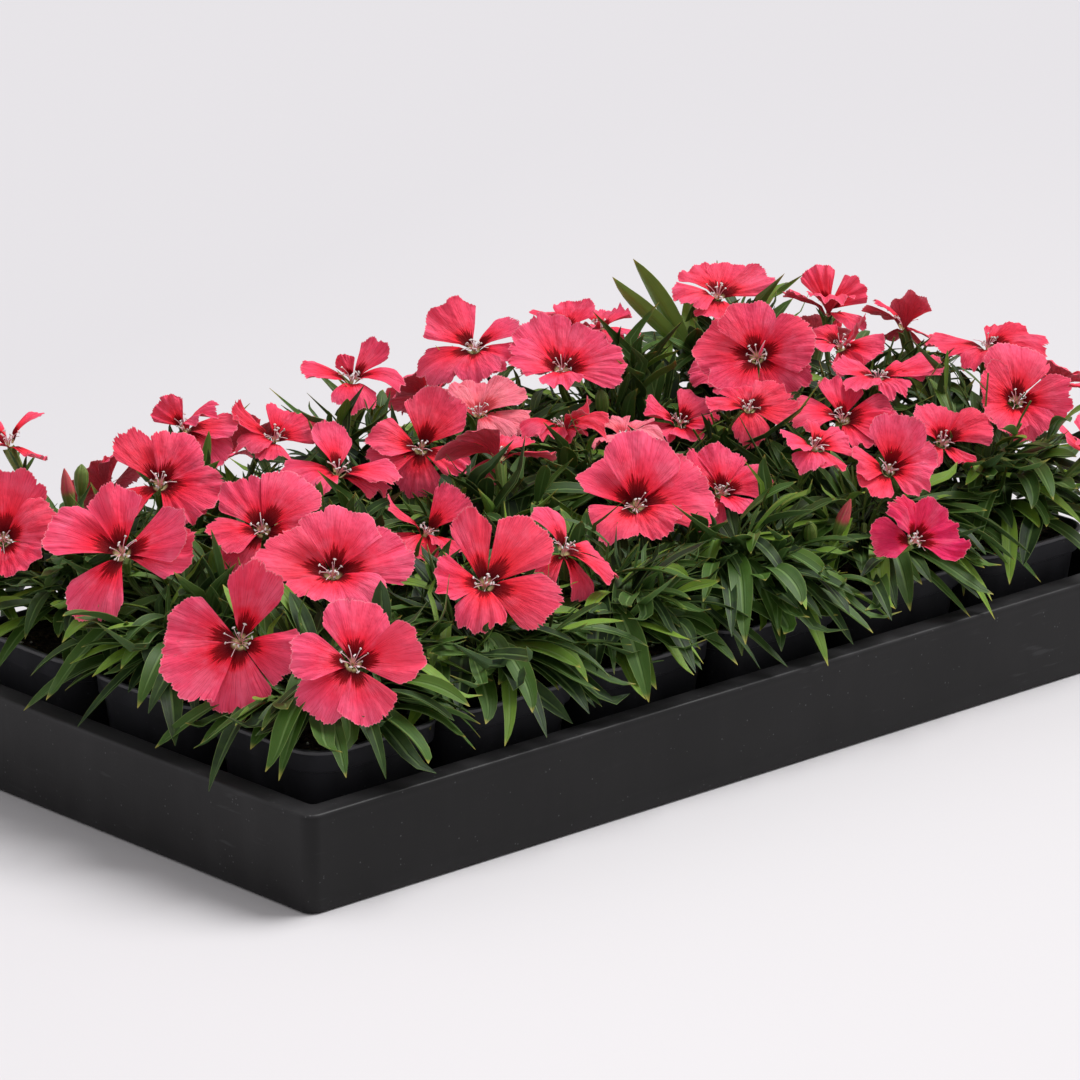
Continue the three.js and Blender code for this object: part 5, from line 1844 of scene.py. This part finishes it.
def plug_rings(cell):
    """A cell's soil: up its tapered wall, then inwards over its bumpy top."""
    def half_at(z):
        """Half the soil's width at a height: the cell's taper inside its wall, less a gap."""
        share = (z - CUP_BOTTOM - CELL_BASE) / (CELL["top"] - CUP_BOTTOM - CELL_BASE)
        low, high = CELL["half_bottom"] - CELL_WALL, CELL["half"] - CELL_WALL
        return low + (high - low) * share - SOIL["gap"]

    heights = SOIL["bottom"], SOIL["middle"], SOIL["top"] - 1
    wall = [(half_at(z), half_at(z), SOIL["corner"] - 2, z) for z in heights]
    half, shares = half_at(SOIL["top"]), np.linspace(1, 0.04, SOIL["rings"])
    top = [(half * s, half * s, max(SOIL["corner"] * s, SOIL["gap"]), SOIL["top"]) for s in shares]
    rings = rounded_rings(wall + top, 6) + np.array([cell["x"], cell["y"], 0])
    bumpy = rings[0, len(wall):].reshape(-1, 3)
    bumpy[:, 2] += lumps(bumpy, 900 + cell["number"])
    rings[0, len(wall):] = bumpy.reshape(rings[0, len(wall):].shape)
    return rings


def beads(places, sizes, draws):
    """Small lumpy beads: squashed spheres of five rings, each ring pushed about a little."""
    count, (rows, around) = len(places), BEAD_GRID
    lift = np.linspace(-0.96, 0.96, rows)
    swell = np.sqrt(1 - lift**2)
    angle = np.arange(around) * TAU / around
    ring = np.stack([np.cos(angle), np.sin(angle)], -1)
    flat = swell[:, None, None] * ring[None] * draws.uniform(0.75, 1.2, (count, rows, around, 1))
    stretch = draws.uniform(0.6, 1.4, (count, 1, 1, 2))
    up = np.broadcast_to(lift[:, None], (count, rows, around)) * draws.uniform(0.5, 0.9, (count, 1, 1))
    shape = np.concatenate([flat * stretch, up[..., None]], -1)
    return places[:, None, None] + shape * sizes[:, None, None, None]


def scattered(cells, each, draws):
    """Places on the soil of the cells, inside their walls."""
    offsets = draws.uniform(-SCATTER["half"], SCATTER["half"], (len(cells) * each, 2))
    centres = np.repeat([(cell["x"], cell["y"]) for cell in cells], each, axis=0)
    inside = np.abs(offsets).sum(1) < SCATTER["diagonal"]
    places = (centres + offsets)[inside]
    return np.column_stack([places, np.full(len(places), SOIL["top"] + SCATTER["above"])])


def strewn(cells, kind, draws):
    """A batch of beads of one kind on the soil of the cells."""
    places = scattered(cells, kind["each"], draws)
    return skins(beads(places, draws.uniform(*kind["size"], len(places)), draws))


def make_soil(pack):
    """One piece of soil for each pack, with its clods, and one of perlite."""
    cells, letter = cells_of(pack), LETTERS[pack]
    draws = np.random.default_rng(8000 + pack)
    plugs = skins(np.concatenate([plug_rings(cell) for cell in cells]))
    clods, grains = strewn(cells, CLODS, draws), strewn(cells, GRAINS, draws)
    points, quads, _ = gathered([(*plugs, {}), (*clods, {})])
    show(mesh_from(f"soil_fill_{letter}", points, quads), SOIL_FINISH, "soil", f"soil_{letter}")
    show(mesh_from(f"perlite_{letter}", *grains), PERLITE, "soil")


for pack in range(PACKS):
    make_soil(pack)

# %% [markdown]
# ## Studio
#
# A pale floor runs off behind the flat, and one large soft light stands high on the right. The
# world's even glow fills the shadows, as white studio walls do.

# %% Floor and light
FLOOR_SIZE = 12.0
FLOOR_DROP = 0.0005
SUN = {"strength": 2.86, "soft": 36.0, "height": 58.0, "from": -16.0}
GLOW = {"colour": (1.0, 0.985, 0.995, 1.0), "strength": 0.5}


def along(graph, place, direction):
    """How far a place lies in a direction: the sum of the products of their coordinates."""
    settings = {"operation": "DOT_PRODUCT"}
    return graph.node("ShaderNodeVectorMath", settings, place, direction, output=1)


def floor_material():
    """Pale matt studio paper with painted shade: it darkens a little towards the back and the left."""
    graph = Graph("studio_floor", Roughness=0.9, Specular_IOR_Level=0.1)
    place = graph.position()
    shade = graph.noise(place, 1.2, 2.0)
    away = along(graph, place, (0.55, 0.84, 0))
    left = along(graph, place, (-0.74, 0.67, 0))
    # painted shade: the paper darkens towards the back and the left
    painted_falloff = away.between(-0.5, 1.3) + left.between(-0.1, 0.4) * 0.4
    paper = graph.blend(shade, (221, 218, 220), (223, 221, 223))
    return graph.finish(Base_Color=graph.blend(painted_falloff, paper, (208, 206, 209)))


def make_studio():
    """The floor, the one light, and the world's glow, seen with plain display colours."""
    corners = np.array([(-1, -1), (1, -1), (1, 1), (-1, 1)]) * FLOOR_SIZE / MM / 2
    points = np.column_stack([corners, np.full(4, -FLOOR_DROP / MM)])
    mesh = mesh_from("studio_floor", points, np.array([[0, 1, 2, 3]]))
    floor = placed("studio_floor", mesh)
    floor.data.materials.append(floor_material())
    floor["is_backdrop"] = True
    sun = bpy.data.lights.new("soft_light", "SUN")
    sun.energy, sun.angle = SUN["strength"], math.radians(SUN["soft"])
    lamp = placed("soft_light", sun)
    lamp.rotation_euler = (math.radians(90 - SUN["height"]), 0, math.radians(SUN["from"] + 90))
    world = bpy.data.worlds.new("studio")
    bpy.context.scene.world = world
    world.use_nodes = True
    glow = world.node_tree.nodes["Background"]
    glow.inputs["Color"].default_value = GLOW["colour"]
    glow.inputs["Strength"].default_value = GLOW["strength"]
    bpy.context.scene.view_settings.view_transform = "Standard"


make_studio()

# %% [markdown]
# ## The last look at the size
#
# The dressed flat must still be the size of its solids, so both boxes are put side by side,
# and the dressed one is printed.

# %% Sizes and finish
def triangles():
    """Triangles of every piece: a face of n corners counts n - 2."""
    counts = {}
    for thing in bpy.context.scene.objects:
        if thing.type == "MESH" and thing.name not in frame["nodes"]:
            data = thing.data
            counts[thing.name] = len(data.loops) - 2 * len(data.polygons)
    return counts


counts = triangles()
print("triangles:", sum(counts.values()), "most in one piece:", max(counts.values()))

boxes = {"solids": [list(corner) for corner in cad_box], "dressed": [list(corner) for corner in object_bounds()]}
print("dressed box:", boxes["dressed"])
